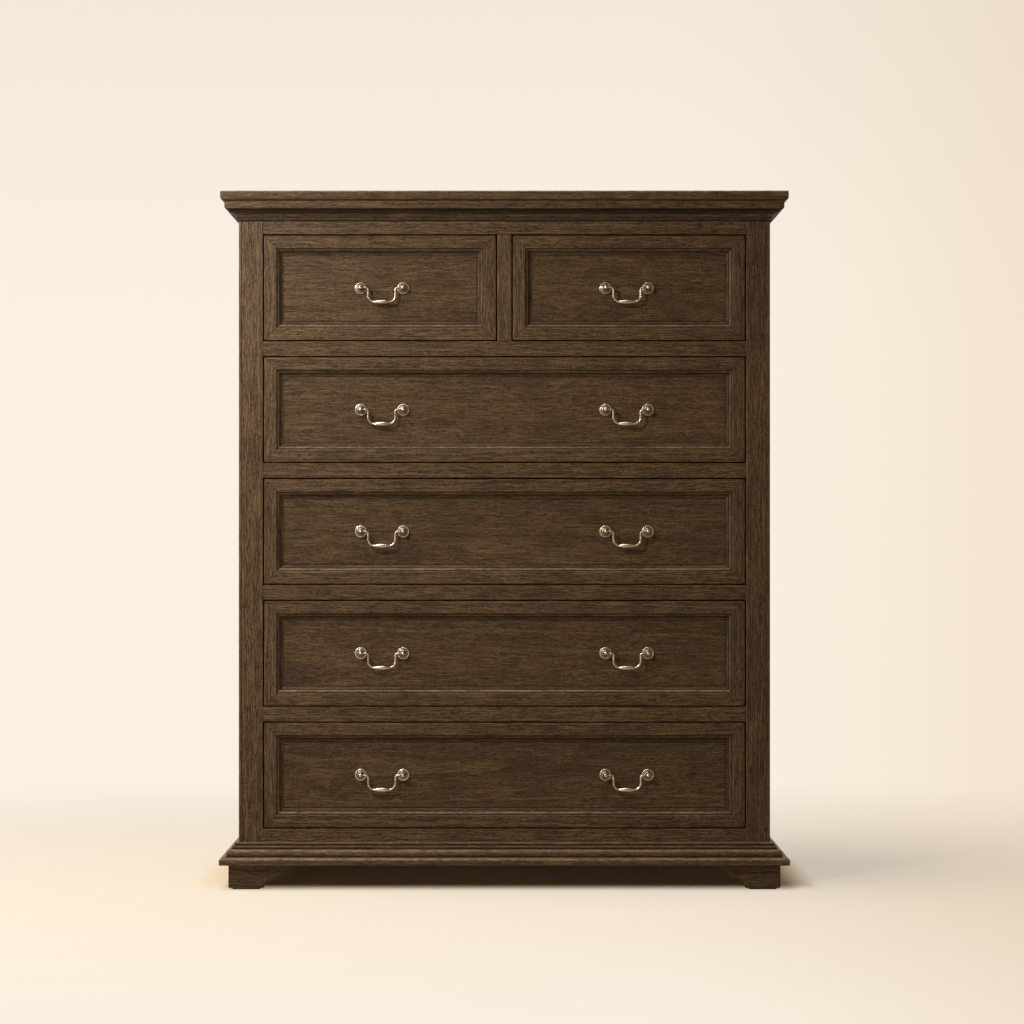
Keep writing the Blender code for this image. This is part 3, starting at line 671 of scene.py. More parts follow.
def oak(name):
    """Planed oak with open grain.

    Stained and waxed, it gives the eye short pale fibres over dark ones, black open pores in
    the soft side of each growth ring, scattered ray flecks and a broad satin sheen. Its arrises
    are worn pale, more on those that face up: part wear, part a painted highlight of light from
    above. Hollows take real stain and painted shade, and every underside is painted dark as
    shade. Plain, it is honey brown and matt. Real fibres and pores are a third of the widths
    here, too fine to show in the render.
    """
    if name in bpy.data.materials:
        return bpy.data.materials[name]
    wood = getattr(bpy.context.scene, "tallboy_" + name)
    figure = bpy.context.scene.tallboy_figure
    material, tree, shader = bare_material(name)
    place, handling, kind = (node(tree, "Attribute", attribute_name=kept)["Vector"]
                             for kept in ("grain_at", "handling", "figure"))
    wear, stain, tone = node(tree, "SeparateXYZ", (handling,))
    bold = node(tree, "SeparateXYZ", (kind,))[0]

    # The fibres wander a little across and through the board
    wander = streaks(tree, place, figure.drift_length, figure.drift_length / 4, 2.0, "Color")
    sway = (0.0, 2 * figure.drift, 2 * figure.drift)
    fibres_at = node(tree, "VectorMath", (wander, sway, place), **TIMES_PLUS)[0]

    # Growth rings lie round the log's heart, which the board's length leaves at a slant
    from_heart = node(tree, "VectorMath", (fibres_at, (LOG_SLANT, 1.0, 1.0)), **TIMES)[0]
    along, across, through = node(tree, "SeparateXYZ", (from_heart,))
    flat = node(tree, "CombineXYZ", (0.0, across, through))[0]
    distance = node(tree, "VectorMath", (flat,), operation="LENGTH")["Value"]
    slanted = node(tree, "Math", (distance, along), **PLUS)[0]
    years = node(tree, "Math", (slanted, figure.ring_width), operation="DIVIDE")[0]
    ring = node(tree, "TexNoise", {"W": years, "Scale": 1.0, "Detail": 1.5},
                noise_dimensions="1D")[0]
    part_of_year = node(tree, "Math", (years,), operation="FRACT")[0]
    soft_wood = node(tree, "MapRange", (part_of_year, 0.55, 0.1), **SMOOTHLY)[0]

    # Fibres long and short, pores in the soft wood, patches of stain and ray flecks. In each
    # range the first pair says where a pattern starts and ends, and the second what it gives.
    fibre = streaks(tree, fibres_at, figure.fibre_length, figure.fibre_width, 1.5)
    short = streaks(tree, fibres_at, figure.short_length, figure.fibre_width, 1.0)
    fine = streaks(tree, fibres_at, figure.pore_length, figure.pore_width, 1.0)
    open_pores = node(tree, "MapRange", (fine, 0.56, 0.68), **SMOOTHLY)[0]
    where_soft = node(tree, "MapRange", (soft_wood, 0.0, 1.0, 0.35, 1.0), **SMOOTHLY)[0]
    pores = node(tree, "Math", (open_pores, where_soft), **TIMES)[0]
    patches = streaks(tree, place, figure.blotch, figure.blotch / 2, 2.0)
    rays = streaks(tree, fibres_at, figure.fleck_length, figure.fleck_width, 2.0)
    ray_edge = node(tree, "Math", (rays, 0.5), **LESS)[0]
    ray_edge = node(tree, "Math", (ray_edge,), operation="ABSOLUTE")[0]
    cut_rays = node(tree, "MapRange", (ray_edge, 0.07, 0.0), **SMOOTHLY)[0]
    where_cut = node(tree, "MapRange", (patches, 0.35, 0.60, 0.55, 1.0), **SMOOTHLY)[0]
    flecks = node(tree, "Math", (cut_rays, where_cut), **TIMES)[0]

    # Three patterns about one middle make light and dark, stronger on a narrow board
    middle = 0.5
    mixed = -middle
    for pattern, part in ((short, SHORT_SHARE), (fibre, FIBRE_SHARE), (ring, RING_SHARE)):
        mixed = node(tree, "Math", (pattern, part, mixed), **TIMES_PLUS)[0]
    mixed = node(tree, "Math", (mixed, bold, middle), **TIMES_PLUS)[0]
    surface = coated(tree, wood.dark,
                     (node(tree, "MapRange", (mixed, 0.38, 0.50), **SMOOTHLY)[0], wood.ground),
                     (node(tree, "MapRange", (mixed, 0.50, 0.64), **SMOOTHLY)[0], wood.light),
                     (node(tree, "Math", (pores, PORE_COVER), **TIMES)[0], wood.pore),
                     (node(tree, "Math", (flecks, FLECK_COVER), **TIMES)[0], wood.light))

    # Each board took the stain a little differently, and unevenly
    level = node(tree, "MapRange", (patches, 0.3, 0.7, 0.92, 1.08), **SMOOTHLY)[0]
    level = node(tree, "Math", (tone, BOARD_TONE, level), **TIMES_PLUS)[0]
    surface = node(tree, "VectorMath", {0: surface, "Scale": level}, operation="SCALE")[0]

    # Arrises that face up are worn pale most and the rest keep a little: part wear, part a painted
    # highlight of light from above. Undersides get painted shade.
    rubs = streaks(tree, place, figure.rub_length, figure.rub_length / 4, 2.0)
    upward = facing_up(tree)
    wear_and_light_from_above = node(tree, "MapRange", (upward, 0.05, 0.5, 0.16, 1.0), **SMOOTHLY)[0]
    where_rubbed = node(tree, "MapRange", (rubs, 0.40, 0.60, 0.25, 1.0), **SMOOTHLY)[0]
    rubbed = node(tree, "Math", (wear, wear_and_light_from_above), **TIMES)[0]
    rubbed = node(tree, "Math", (rubbed, where_rubbed), **TIMES)[0]
    rubbed = node(tree, "Math", (rubbed, RUB_COVER * wood.wear), **TIMES)[0]
    # Painted shade: every downward face takes the dark filled colour, as if in shadow
    painted_underside_shade = node(tree, "MapRange", (upward, -0.5, -0.95, 0.0, 0.6), **SMOOTHLY)[0]
    stain = node(tree, "Math", (stain, painted_underside_shade), **HIGHEST)[0]
    stain_and_painted_shade = node(tree, "Math", (stain, STAIN_COVER), **TIMES)[0]
    surface = coated(tree, surface, (rubbed, wood.worn), (stain_and_painted_shade, wood.filled))

    # Raised fibres are rubbed smoother than the soft wood, and pores and stain don't shine
    smoother, rougher = wood.roughness - 0.06, wood.roughness + 0.08
    dull = node(tree, "MapRange", (fibre, 0.35, 0.65, rougher, smoother), **SMOOTHLY)[0]
    for pattern, duller in ((pores, 0.25), (stain, 0.2)):
        dull = node(tree, "Math", (pattern, duller, dull), **TIMES_PLUS)[0]
    relief = fibre
    for pattern, height in ((flecks, 0.35), (pores, -0.8), (ring, 0.3)):
        relief = node(tree, "Math", (pattern, height, relief), **TIMES_PLUS)[0]
    grain = {"Height": relief, "Distance": figure.relief, "Strength": 0.9}
    feed(tree, shader, {"Base Color": surface, "Roughness": dull, "IOR": 1.44,
                        "Specular IOR Level": 0.35, "Normal": node(tree, "Bump", grain)[0]})
    return material


def brass():
    """Cast brass, hand rubbed and left to age.

    It gives the eye pale gold high points with soft highlights, and a brown film that turns
    dark in the turned hollows. Its undersides are darkened with the same film as painted shade.
    """
    if "cast_brass" in bpy.data.materials:
        return bpy.data.materials["cast_brass"]
    look = bpy.context.scene.tallboy_brass
    material, tree, shader = bare_material("cast_brass")
    place, handling = (node(tree, "Attribute", attribute_name=kept)["Vector"]
                       for kept in ("cast_at", "handling"))
    wear, film, _ = node(tree, "SeparateXYZ", (handling,))
    patches = streaks(tree, place, look.patch, look.patch, 3.0)
    aged = node(tree, "MapRange", (patches, 0.35, 0.7), **SMOOTHLY)[0]
    aged = node(tree, "Math", (wear, -0.5, aged), **TIMES_PLUS)[0]
    # Painted shade: downward faces take the dark film, as if in shadow
    painted_underside_shade = (facing_up(tree), -0.25, -0.85, 0.0, 0.75)
    painted_underside_shade = node(tree, "MapRange", painted_underside_shade, **SMOOTHLY)[0]
    film = node(tree, "Math", (film, painted_underside_shade), **HIGHEST)[0]
    thick = node(tree, "Math", (film, TARNISH_COVER), **TIMES)[0]
    surface = coated(tree, look.polished, (aged, look.aged), (thick, look.tarnish))
    smoother, rougher = look.roughness - 0.05, look.roughness + 0.1
    dull = node(tree, "MapRange", (patches, 0.3, 0.7, smoother, rougher), **SMOOTHLY)[0]
    dull = node(tree, "Math", (film, 0.2, dull), **TIMES_PLUS)[0]
    pits = streaks(tree, place, look.pit, look.pit, 2.0)
    cast = {"Height": pits, "Distance": look.relief, "Strength": 0.7}
    feed(tree, shader, {"Base Color": surface, "Metallic": 1.0, "Roughness": dull,
                        "Normal": node(tree, "Bump", cast)[0]})
    return material


def felt():
    """Pressed wool felt, cut: a dark matt pad with no shine.

    Real hairs are about a fiftieth of the width here, too fine to show in the render.
    """
    if "dark_felt" in bpy.data.materials:
        return bpy.data.materials["dark_felt"]
    hair_width, nap = 0.0012, 0.0003
    material, tree, shader = bare_material("dark_felt")
    place = node(tree, "TexCoord")["Object"]
    hairs = streaks(tree, place, hair_width, hair_width, 3.0)
    surface = coated(tree, linear("#0C0A08"), (hairs, linear("#241E19")))
    pressed = {"Height": hairs, "Distance": nap, "Strength": 0.6}
    feed(tree, shader, {"Base Color": surface, "Roughness": 0.95,
                        "Normal": node(tree, "Bump", pressed)[0]})
    return material


# Mouldings

def cornice_section(sizes, height):
    """Cornice: projection from the case and height, from its bead up to the top board."""
    cove_foot = Vector((sizes.bead_projection - sizes.bead_step, sizes.bead_height))
    cove = Vector((sizes.cove_run, sizes.cove_rise))
    hollow = []
    for i in range(1, 8):
        part = i / 8
        dip = 4 * sizes.cove_sag * part * (1 - part) / cove.length
        hollow.append(cove_foot + cove * part + Vector((-cove.y, cove.x)) * dip)
    cove_top = cove_foot + cove
    groove_top = cove_top.y + sizes.groove_height
    ovolo_top = groove_top + sizes.face_rise
    seam = bpy.context.scene.tallboy_joinery.seam
    quirk = sizes.bead_quirk
    behind = seam * 3
    outline = [(seam, 0), (behind, 0), (behind, quirk), (sizes.bead_projection, quirk),
               (sizes.bead_projection, sizes.bead_height), cove_foot, *hollow, cove_top,
               (sizes.groove_projection, cove_top.y), (sizes.groove_projection, groove_top),
               (sizes.fillet_projection, groove_top)]
    outline += arc((sizes.fillet_projection, ovolo_top),
                   (sizes.face_projection - sizes.fillet_projection, sizes.face_rise), -90, 0)
    # The quirk under the bead and the groove over the hollow are painted fully dark: painted shadow
    # of the bead and painted shade under the ovolo
    filled = ((-seam, quirk + seam), (cove_top.y - seam, groove_top + seam))
    return outline + [(sizes.face_projection, height), (seam, height)], filled


def plinth_section(sizes, height):
    """Plinth: projection from the case and height, a rounded nose under an ovolo and two steps."""
    ledge = sizes.plinth_edge + sizes.nose_rise
    first_step = ledge + sizes.ovolo_flat + sizes.ovolo_rise
    second_step = first_step + sizes.lower_step_height
    seam = bpy.context.scene.tallboy_joinery.seam
    outline = [(seam, 0), (sizes.plinth_projection, 0)]
    outline += arc((sizes.plinth_projection - sizes.nose_run, sizes.plinth_edge),
                   (sizes.nose_run, sizes.nose_rise), 0, 90)
    outline += [(sizes.ovolo_projection, ledge)]
    outline += arc((sizes.ovolo_projection - sizes.ovolo_run, ledge + sizes.ovolo_flat),
                   (sizes.ovolo_run, sizes.ovolo_rise), 0, 90)
    outline += [(sizes.lower_step, first_step), (sizes.lower_step, second_step),
                (sizes.upper_step, second_step), (sizes.upper_step, height), (seam, height)]
    return outline


def panel_moulding(sizes):
    """Moulded edge of a sunk panel: distance in from the frame and depth below its face."""
    floor = sizes.quirk + sizes.ovolo_depth
    cove_end = sizes.ovolo_width + sizes.panel_fillet + sizes.cove_width
    edge = [(0, 0), (0, sizes.quirk)]
    edge += arc((0, floor), (sizes.ovolo_width, -sizes.ovolo_depth), 90, 0, 6)[1:]
    return edge + arc((cove_end, floor), (-sizes.cove_width, sizes.cove_depth), 0, 90, 6)


def mitred_lengths(node_name, outline, foot, filled=()):
    """A moulding round the case: one length across the front and a return along each side.

    Each span of height in filled is a groove painted fully with the dark filled colour, as painted
    shadow.
    """
    section = dress(outline, bpy.context.scene.tallboy_joinery.moulded_arris)
    for low, high in filled:
        section = [(u, v, 0.0, 1.0) if low < v < high else (u, v, wear, stain)
                   for u, v, wear, stain in section]

    def front(w, u, v):
        return (w, case_front - u, foot + v)

    def left(w, u, v):
        return (-case_half - u, w, foot + v)

    def right(w, u, v):
        return (case_half + u, w, foot + v)

    shell = sweep(section, -case_half, case_half, front, (joint_end(), joint_end()), (-1.0, -1.0))
    oak_piece(node_name + "_front_length", shell, "xzy", "case", [node_name])
    for side, place in (("left", left), ("right", right)):
        shell = sweep(section, case_front, case_back, place, (joint_end(), sawn_end()), (-1.0, 0.0))
        oak_piece(f"{node_name}_{side}_return", shell, "yzx", "case", [node_name])


def top_board():
    """A board rounded along its front and ends, square and flush at the back."""
    sizes = bpy.context.scene.tallboy_mouldings
    low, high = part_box("top_board")
    lower, upper = sizes.top_lower_round, sizes.top_upper_round
    flat = 0.004
    edge = [(-lower - flat, low.z)]
    edge += arc((-lower, low.z + lower), (lower, lower), -90, 0, 6)
    edge += arc((-upper, high.z - upper), (upper, upper), 0, 90, 6)
    edge += [(-upper - flat, high.z)]
    plan = dress(rectangle(low.x, high.x, low.y, high.y))
    points, handling = [], []
    stations = dress(edge, closed=False)
    for reach, height, wear, stain in stations:
        for x, y, _, _ in plan:
            across = min(max(x, low.x - reach), high.x + reach)
            points.append((across, max(y, low.y - reach), height))
            handling.append((wear, stain))
    shell = points, skin(len(stations), len(plan)), handling
    oak_piece("top_board_oak", shell, "xyz", "case", ["top_board"])


# Case

def corner_stile_section(joinery):
    """Plan of a front corner stile with its bead: distance back from the front and depth in."""
    bead, quirk = joinery.corner_bead, joinery.bead_quirk
    stile_width = case_half - opening_half
    depth, frame_depth = joinery.stile_depth, joinery.side_thickness
    rounded = arc((quirk * 2, quirk * 2), (quirk * 2, quirk * 2), 270, 180, 4)
    outline = [(joinery.side_stile, 0)] + rounded
    outline += [(0, bead), (quirk, bead + quirk / 2), (0, bead + quirk), (0, stile_width),
                (depth, stile_width), (depth, frame_depth), (joinery.side_stile, frame_depth)]
    return outline


def case_side(side, name):
    """Framed side: a corner stile, a back stile, two rails and a sunk panel in mitred mouldings."""
    joinery = bpy.context.scene.tallboy_joinery
    label = name + "_side"
    seam, thickness = joinery.seam / 2, joinery.side_thickness
    y0, y1 = case_front + joinery.side_stile, case_back - joinery.side_stile
    z0, z1 = case_bottom + joinery.side_bottom_rail, case_top - joinery.side_top_rail

    def surface(y, z, depth):
        return (side * (case_half - depth), y, z)

    def upright(w, u, v):
        return surface(case_front + u, w, v)

    square = free_end(joinery.fine_arris)
    stile = dress(corner_stile_section(joinery))
    shell = sweep(stile, case_bottom, case_top, upright, (square, square))
    oak_piece(label + "_corner_stile", shell, "zxy", "case", [label])
    boards = (("_back_stile", (y1, case_back), (case_bottom, case_top), "zyx", None),
              ("_bottom_rail", (y0 + seam, y1 - seam), (case_bottom, z0), "yzx", joint_end()),
              ("_top_rail", (y0 + seam, y1 - seam), (z1, case_top), "yzx", joint_end()))
    for part, (near, far), (foot, head), grain, end in boards:
        shell = plank(surface(near, foot, 0), surface(far, head, thickness), grain, end=end)
        oak_piece(label + part, shell, grain, "case", [label])

    moulding = panel_moulding(bpy.context.scene.tallboy_mouldings)
    inset, depth = moulding[-1]
    strip = dress(moulding + [(inset, thickness), (0, thickness)])
    for part, level, shell in mitred_frame(strip, (y0, y1), (z0, z1), surface):
        oak_piece(f"{label}_{part}_moulding", shell, "yzx" if level else "zyx", "case", [label])
    inset += seam
    panel = plank(surface(y0 + inset, z0 + inset, depth),
                  surface(y1 - inset, z1 - inset, depth + joinery.panel_thickness), "zyx")
    oak_piece(label + "_panel", set_in(panel), "zyx", "case", [label])


def mitred_frame(strip, u_span, v_span, surface, gap=0.0):
    """Four lengths of a strip mitred into a frame: part, whether it lies level, and shell.

    surface turns (across, up, depth) into a point.
    """
    members = (("bottom", True, v_span[0], 1), ("top", True, v_span[1], -1),
               ("left", False, u_span[0], 1), ("right", False, u_span[1], -1))
    for part, level, edge, inwards in members:
        def place(w, reach, depth):
            across = edge + inwards * reach
            return surface(w, across, depth) if level else surface(across, w, depth)

        start, end = u_span if level else v_span
        ends = (joint_end(), joint_end())
        yield part, level, sweep(strip, start + gap, end - gap, place, ends, (1.0, 1.0))


def web_frame(name):
    """The rail between two rows of drawers, and the frame behind it that they run on."""
    webs = bpy.context.scene.tallboy_webs
    joinery = bpy.context.scene.tallboy_joinery
    low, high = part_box(name)
    seam, fine = joinery.seam, joinery.fine_arris
    guided = name != "top_frame"
    rail_top = high.z - webs.guide if guided else high.z
    web_low = rail_top - webs.height if guided else low.z
    web_high = web_low + webs.height
    stile_back = case_front + joinery.stile_depth
    rail_end = opening_half - seam
    rail = plank((-rail_end, case_front, low.z), (rail_end, stile_back, rail_top), "xzy",
                 end=joint_end())
    oak_piece(name + "_rail", sheltered(rail), "xzy", "case", [name])

    def plain_boards(part, grain, places):
        """Several boards of plain oak as one piece, each between two corners."""
        boards = [plank(corner, opposite, grain, fine) for corner, opposite in places]
        oak_piece(name + part, joined(boards), grain, "case", [name], stained=False)

    near, far = stile_back + seam, high.y
    web_front, web_back = case_front + webs.front, far - webs.back
    inner, half = high.x - webs.runner, webs.middle / 2
    runners, gaps = [(low.x, -inner), (inner, high.x)], [(-inner, inner)]
    if name in MIDDLE_RUNNERS:
        runners.append((-half, half))
        gaps = [(-inner, -half), (half, inner)]
    middle = (web_low + web_high) / 2
    dust_low, dust_high = middle - webs.dust_panel / 2, middle + webs.dust_panel / 2
    plain_boards("_cross_members", "xyz", [((low.x, y0, web_low), (high.x, y1, web_high))
                                           for y0, y1 in ((near, web_front), (web_back, far))])
    plain_boards("_runners", "yxz", [((x0, web_front, web_low), (x1, web_back, web_high))
                                     for x0, x1 in runners])
    plain_boards("_dust_panel", "xyz", [((x0, web_front, dust_low), (x1, web_back, dust_high))
                                        for x0, x1 in gaps])
    if guided:
        guides = []
        for side in (-1, 1):
            wall, edge = side * (high.x - seam), side * opening_half
            stop = side * (opening_half - webs.stop_reach)
            stop_front = far - webs.stop - seam
            guides.append(((wall, near + seam, web_high), (edge, far - seam, high.z)))
            guides.append(((edge, stop_front, web_high), (stop, far - seam, high.z)))
        plain_boards("_guides", "yxz", guides)


def back_boards():
    """The back: upright boards side by side, each with its own figure."""
    low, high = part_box("back_panel")
    width = (high.x - low.x) / BACK_BOARDS
    gap = bpy.context.scene.tallboy_joinery.seam / 2
    for i in range(BACK_BOARDS):
        x0 = low.x + width * i
        shell = plank((x0 + gap, low.y, low.z), (x0 + width - gap, high.y, high.z), "zxy")
        oak_piece(f"back_board_{i + 1}", shell, "zxy", "case", ["back_panel"], stained=False)


def muntin_and_divider():
    """The upright between the short drawers, and the partition behind it."""
    muntin = sheltered(plank(*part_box("centre_muntin"), "zxy", end=joint_end()))
    oak_piece("centre_muntin_oak", muntin, "zxy", "case", ["centre_muntin"])
    divider = plank(*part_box("centre_divider"), "yzx")
    oak_piece("centre_divider_oak", divider, "yzx", "case", ["centre_divider"], stained=False)


# Feet

def bracket_outline(feet, height, shaped):
    """Bracket: length from the corner and height, with an arch and a slanting swell if shaped."""
    foot_low = feet.pad
    toe = arc((feet.pad, foot_low + feet.pad), (feet.pad, feet.pad), 180, 270, 3)
    if not shaped:
        return toe + [(feet.base, foot_low), (feet.base, height), (0, height)]
    arch_end = feet.base + feet.arch_run
    arch = (feet.arch_run, feet.arch_rise - foot_low)
    outline = toe + arc((arch_end, foot_low), arch, 180, 90, 10)
    start, nose = Vector((arch_end, feet.arch_rise)), Vector((feet.top, height))
    slant = nose - start
    down = Vector((slant.y, -slant.x)).normalized()
    for i in range(1, 8):
        part = i / 8
        outline.append(start + slant * part + down * 4 * feet.swell * part * (1 - part))
    return outline + [nose, (0, height)]


def bracket_foot(name, side, front):
    """Two brackets mitred at the corner, a glue block behind them and a felt pad below."""
    feet = bpy.context.scene.tallboy_feet
    fine = bpy.context.scene.tallboy_joinery.fine_arris
    low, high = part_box(name)
    corner_x = low.x if side < 0 else high.x
    corner_y = low.y if front else high.y
    into_y = 1 if front else -1

    def spot(x, y, z):
        """A point by its distances in from the foot's outer corner, and its height."""
        return (corner_x - side * x, corner_y + into_y * y, z)

    def mitred(w, u):
        """The back of a bracket is shorter than its face at the corner."""
        return u + w * max(0.0, 1 - u / feet.base)

    def along_x(w, u, v):
        return spot(mitred(w, u), w, v)

    def along_y(w, u, v):
        return spot(w, mitred(w, u), v)

    ends = (free_end(fine), free_end(fine))
    brackets = (("cross", along_x, "xzy", front), ("side", along_y, "yzx", True))
    for part, place, grain, shaped in brackets:
        section = dress(bracket_outline(feet, high.z, shaped), fine)
        shell = sweep(section, 0, feet.thickness, place, ends)
        oak_piece(f"{name}_{part}_bracket", shell, grain, "case", [name])

    back = feet.thickness
    far = back + feet.block
    block = plank(spot(back, back, feet.block_lift), spot(far, far, high.z), "zxy", fine)
    oak_piece(name + "_glue_block", block, "zxy", "case", [name], stained=False)
    near, far = feet.pad_inset, feet.base - feet.pad_inset
    strips = [plank(spot(near, near, 0.0), spot(x, y, feet.pad), "xyz", fine)
              for x, y in ((far, back), (back, far))]
    points, faces, _ = joined(strips)
    mesh = closed_mesh(name + "_pad", points, faces)
    set_piece(name + "_pad", mesh, felt(), "case", [name])


# Drawers

def panelled_front(drawer):
    """Drawer front: four moulded lengths mitred round a sunk panel."""
    joinery = bpy.context.scene.tallboy_joinery
    node_name = drawer + "_front"
    low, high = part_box(node_name)
    moulding = [(joinery.front_frame + inset, depth) for inset, depth
                in panel_moulding(bpy.context.scene.tallboy_mouldings)]
    thickness = high.y - low.y
    inset, depth = moulding[-1]
    section = dress([(0, 0)] + moulding + [(inset, thickness), (0, thickness)])
    section = [(u, v, wear * (joinery.sheltered if u < joinery.front_frame / 2 else 1), stain)
               for u, v, wear, stain in section]

    def surface(x, z, sunk):
        return (x, low.y + sunk, z)

    spans = (low.x, high.x), (low.z, high.z)
    for part, level, shell in mitred_frame(section, *spans, surface, joinery.mitre_gap):
        grain = "xzy" if level else "zxy"
        oak_piece(f"{node_name}_{part}_rail", shell, grain, drawer, [node_name])
    inset += joinery.seam / 2
    panel = plank(surface(low.x + inset, low.z + inset, depth),
                  surface(high.x - inset, high.z - inset, depth + joinery.panel_thickness), "xzy")
    oak_piece(node_name + "_panel", set_in(panel), "xzy", drawer, [node_name])


def dovetails(joinery, low, high):
    """Heights of the dovetail pins' middles, from the half pin at one edge to the other's."""
    count = max(2, round((high - low) / joinery.tail_pitch))
    pitch = (high - low) / count
    return [low + pitch * i for i in range(count + 1)]


def pin_outline(joinery, middle, low, high):
    """One pin seen from the drawer's side: narrow at the front and flared at its root."""
    half = joinery.pin_width / 2
    root = half + joinery.pin_flare
    front, back = low.y, low.y + joinery.wall
    corners = ((front, -half), (back, -root), (back, root), (front, half))
    return [(y, min(max(middle + rise, low.z), high.z)) for y, rise in corners]


def drawer_box(drawer):
    """Drawer box: sides dovetailed to an inner front, a back between them and a raised bottom."""
    joinery = bpy.context.scene.tallboy_joinery
    low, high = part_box(drawer + "_box")
    wall, fine, seam = joinery.wall, joinery.fine_arris, joinery.seam / 2
    pins = [pin_outline(joinery, middle, low, high)
            for middle in dovetails(joinery, low.z, high.z)]

    def plain_piece(part, shell, grain):
        oak_piece(drawer + part, shell, grain, drawer, [drawer + "_box"], stained=False)

    # The sides' front ends leave room for each pin
    outline = [(high.y, high.z), (high.y, low.z)]
    for pin in pins:
        room = [(y, min(max(z + shift, low.z), high.z))
                for (y, z), shift in zip(pin, (-seam, -seam, seam, seam))]
        outline += [spot for spot in room if low.z < spot[1] < high.z or spot[0] > low.y]

    # The inner front carries the pins, and each side's end face is let in over them
    x0, x1, y0, y1 = low.x + wall, high.x - wall, low.y + wall, high.y - wall
    shells = [plank((x0, low.y, low.z), (x1, y0, high.z), "xzy", fine)]
    for outer, way, label in ((low.x, 1, "left"), (high.x, -1, "right")):
        def inwards(w, u, v):
            return (outer + way * w, u, v)

        shell = sweep(dress(outline, fine), 0, wall, inwards, (free_end(fine), free_end(fine)))
        plain_piece(f"_{label}_wall", shell, "yzx")
        for pin in pins:
            ends = (free_end(fine / 2), joint_end())
            shells.append(set_in(sweep(dress(pin, fine / 2), 0, wall, inwards, ends)))
    plain_piece("_inner_front", joined(shells), "xzy")
    back_top = high.z - joinery.back_drop
    back = plank((x0, y1, low.z), (x1, high.y, back_top), "xzy", fine, joint_end())
    plain_piece("_back_wall", back, "xzy")
    floor = low.z + joinery.bottom_rise
    bottom = plank((x0, y0, floor), (x1, y1, floor + joinery.bottom), "xyz")
    plain_piece("_bottom", set_in(bottom), "xyz")


# Handles

def brass_piece(name, points, faces, handling, origin, body, node_name):
    """One casting, which keeps its own patches of film."""
    mesh = closed_mesh(name, [[p + o for p, o in zip(point, origin)] for point in points], faces)
    start = random.Random(name).uniform(0, 5)
    store(mesh, "cast_at", [[value + start for value in point] for point in points])
    store(mesh, "handling", [(wear, film, 0.0) for wear, film in handling])
    return set_piece(name, mesh, brass(), body, [node_name])


def post_outline(sizes):
    """Turned post: radius and height over the panel, from the rosette's rim to the ball's tip."""
    rim, radius = sizes.rosette_rim, sizes.rosette_radius
    sliver = 0.0001
    # The rim tucks in behind, and a groove inside it turns up into the dish round the bead
    tuck, rim_height = rim * 0.4, rim * 1.05
    groove, groove_height, dish_height = radius - rim * 2.35, rim * 1.25, rim * 1.3
    outline = [(radius - tuck, 0)]
    outline += arc((radius - rim, rim_height), (rim, rim), -20, 120, 7)
    outline += [(groove, groove_height)]
    dish = (groove - sizes.collar_radius - sliver * 3, sizes.collar_foot - dish_height)
    outline += arc((groove - sliver, sizes.collar_foot), (-dish[0], -dish[1]), 90, 0, 5)
    bead = (sizes.collar_top - sizes.collar_foot) / 2
    bead_centre = (sizes.collar_radius - bead, sizes.collar_foot + bead)
    outline += arc(bead_centre, (bead, bead), -60, 90, 7)
    ball_angle = math.degrees(math.acos(sizes.neck_radius / sizes.ball_radius))
    neck_top = sizes.reach - math.sqrt(sizes.ball_radius ** 2 - sizes.neck_radius ** 2)
    flare = sizes.collar_radius - bead - sizes.neck_radius
    flare_run = flare * 0.8
    outline += arc((sizes.neck_radius + flare_run, sizes.collar_top + flare),
                   (-flare_run, -flare), 90, 0, 5)[1:]
    outline += [(sizes.neck_radius, neck_top - sliver * 6)]
    ball = (sizes.ball_radius, sizes.ball_radius)
    return outline + arc((0, sizes.reach), ball, -ball_angle, 84, 14)


def handle_post(name, body, node_name):
    """Rosette, bead, neck and ball, turned in one.

    Film lies thick round the neck and in the grooves and thinner in the dish. The dark ring round
    the ball's edge is painted shade on its sides.
    """
    sizes = bpy.context.scene.tallboy_handles
    low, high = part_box(node_name)
    origin = ((low.x + high.x) / 2, high.y, (low.z + high.z) / 2)
    section = post_outline(sizes)
    last = len(section) - 1
    neck_top = sizes.reach - sizes.ball_radius * 0.7
    neck_side = sizes.collar_radius * 0.85
    dish_inside = sizes.collar_radius * 1.02
    dish_outside = sizes.rosette_radius - sizes.rosette_rim * 2.2
    # Where the painted shade on the ball's sides starts and how soon it is full, as shares of the
    # ball's radius
    ring_start, ring_fade = 0.55, 0.3
    painted_ball_edge_shade, dish_film = 0.8, 0.5
    points, handling = [], []
    for i, (radius, height) in enumerate(section):
        spot = Vector((radius, height))
        before, after = Vector(section[max(i - 1, 0)]), Vector(section[min(i + 1, last)])
        hollow = 0 < i < last and (spot - before).cross(after - spot) < 0
        if height > neck_top:
            part = max(0.0, radius / sizes.ball_radius - ring_start) / ring_fade
            film = painted_ball_edge_shade * min(1.0, part)
        elif dish_inside < radius < dish_outside:
            film = dish_film
        else:
            film = 1.0 if hollow or radius < neck_side else 0.0
        for turn in range(POST_SIDES):
            angle = math.tau * turn / POST_SIDES
            points.append((radius * math.cos(angle), -height, radius * math.sin(angle)))
            handling.append((1.0 - film, film))
    faces = skin(len(section), POST_SIDES)
    brass_piece(name, points, faces, handling, origin, body, node_name)


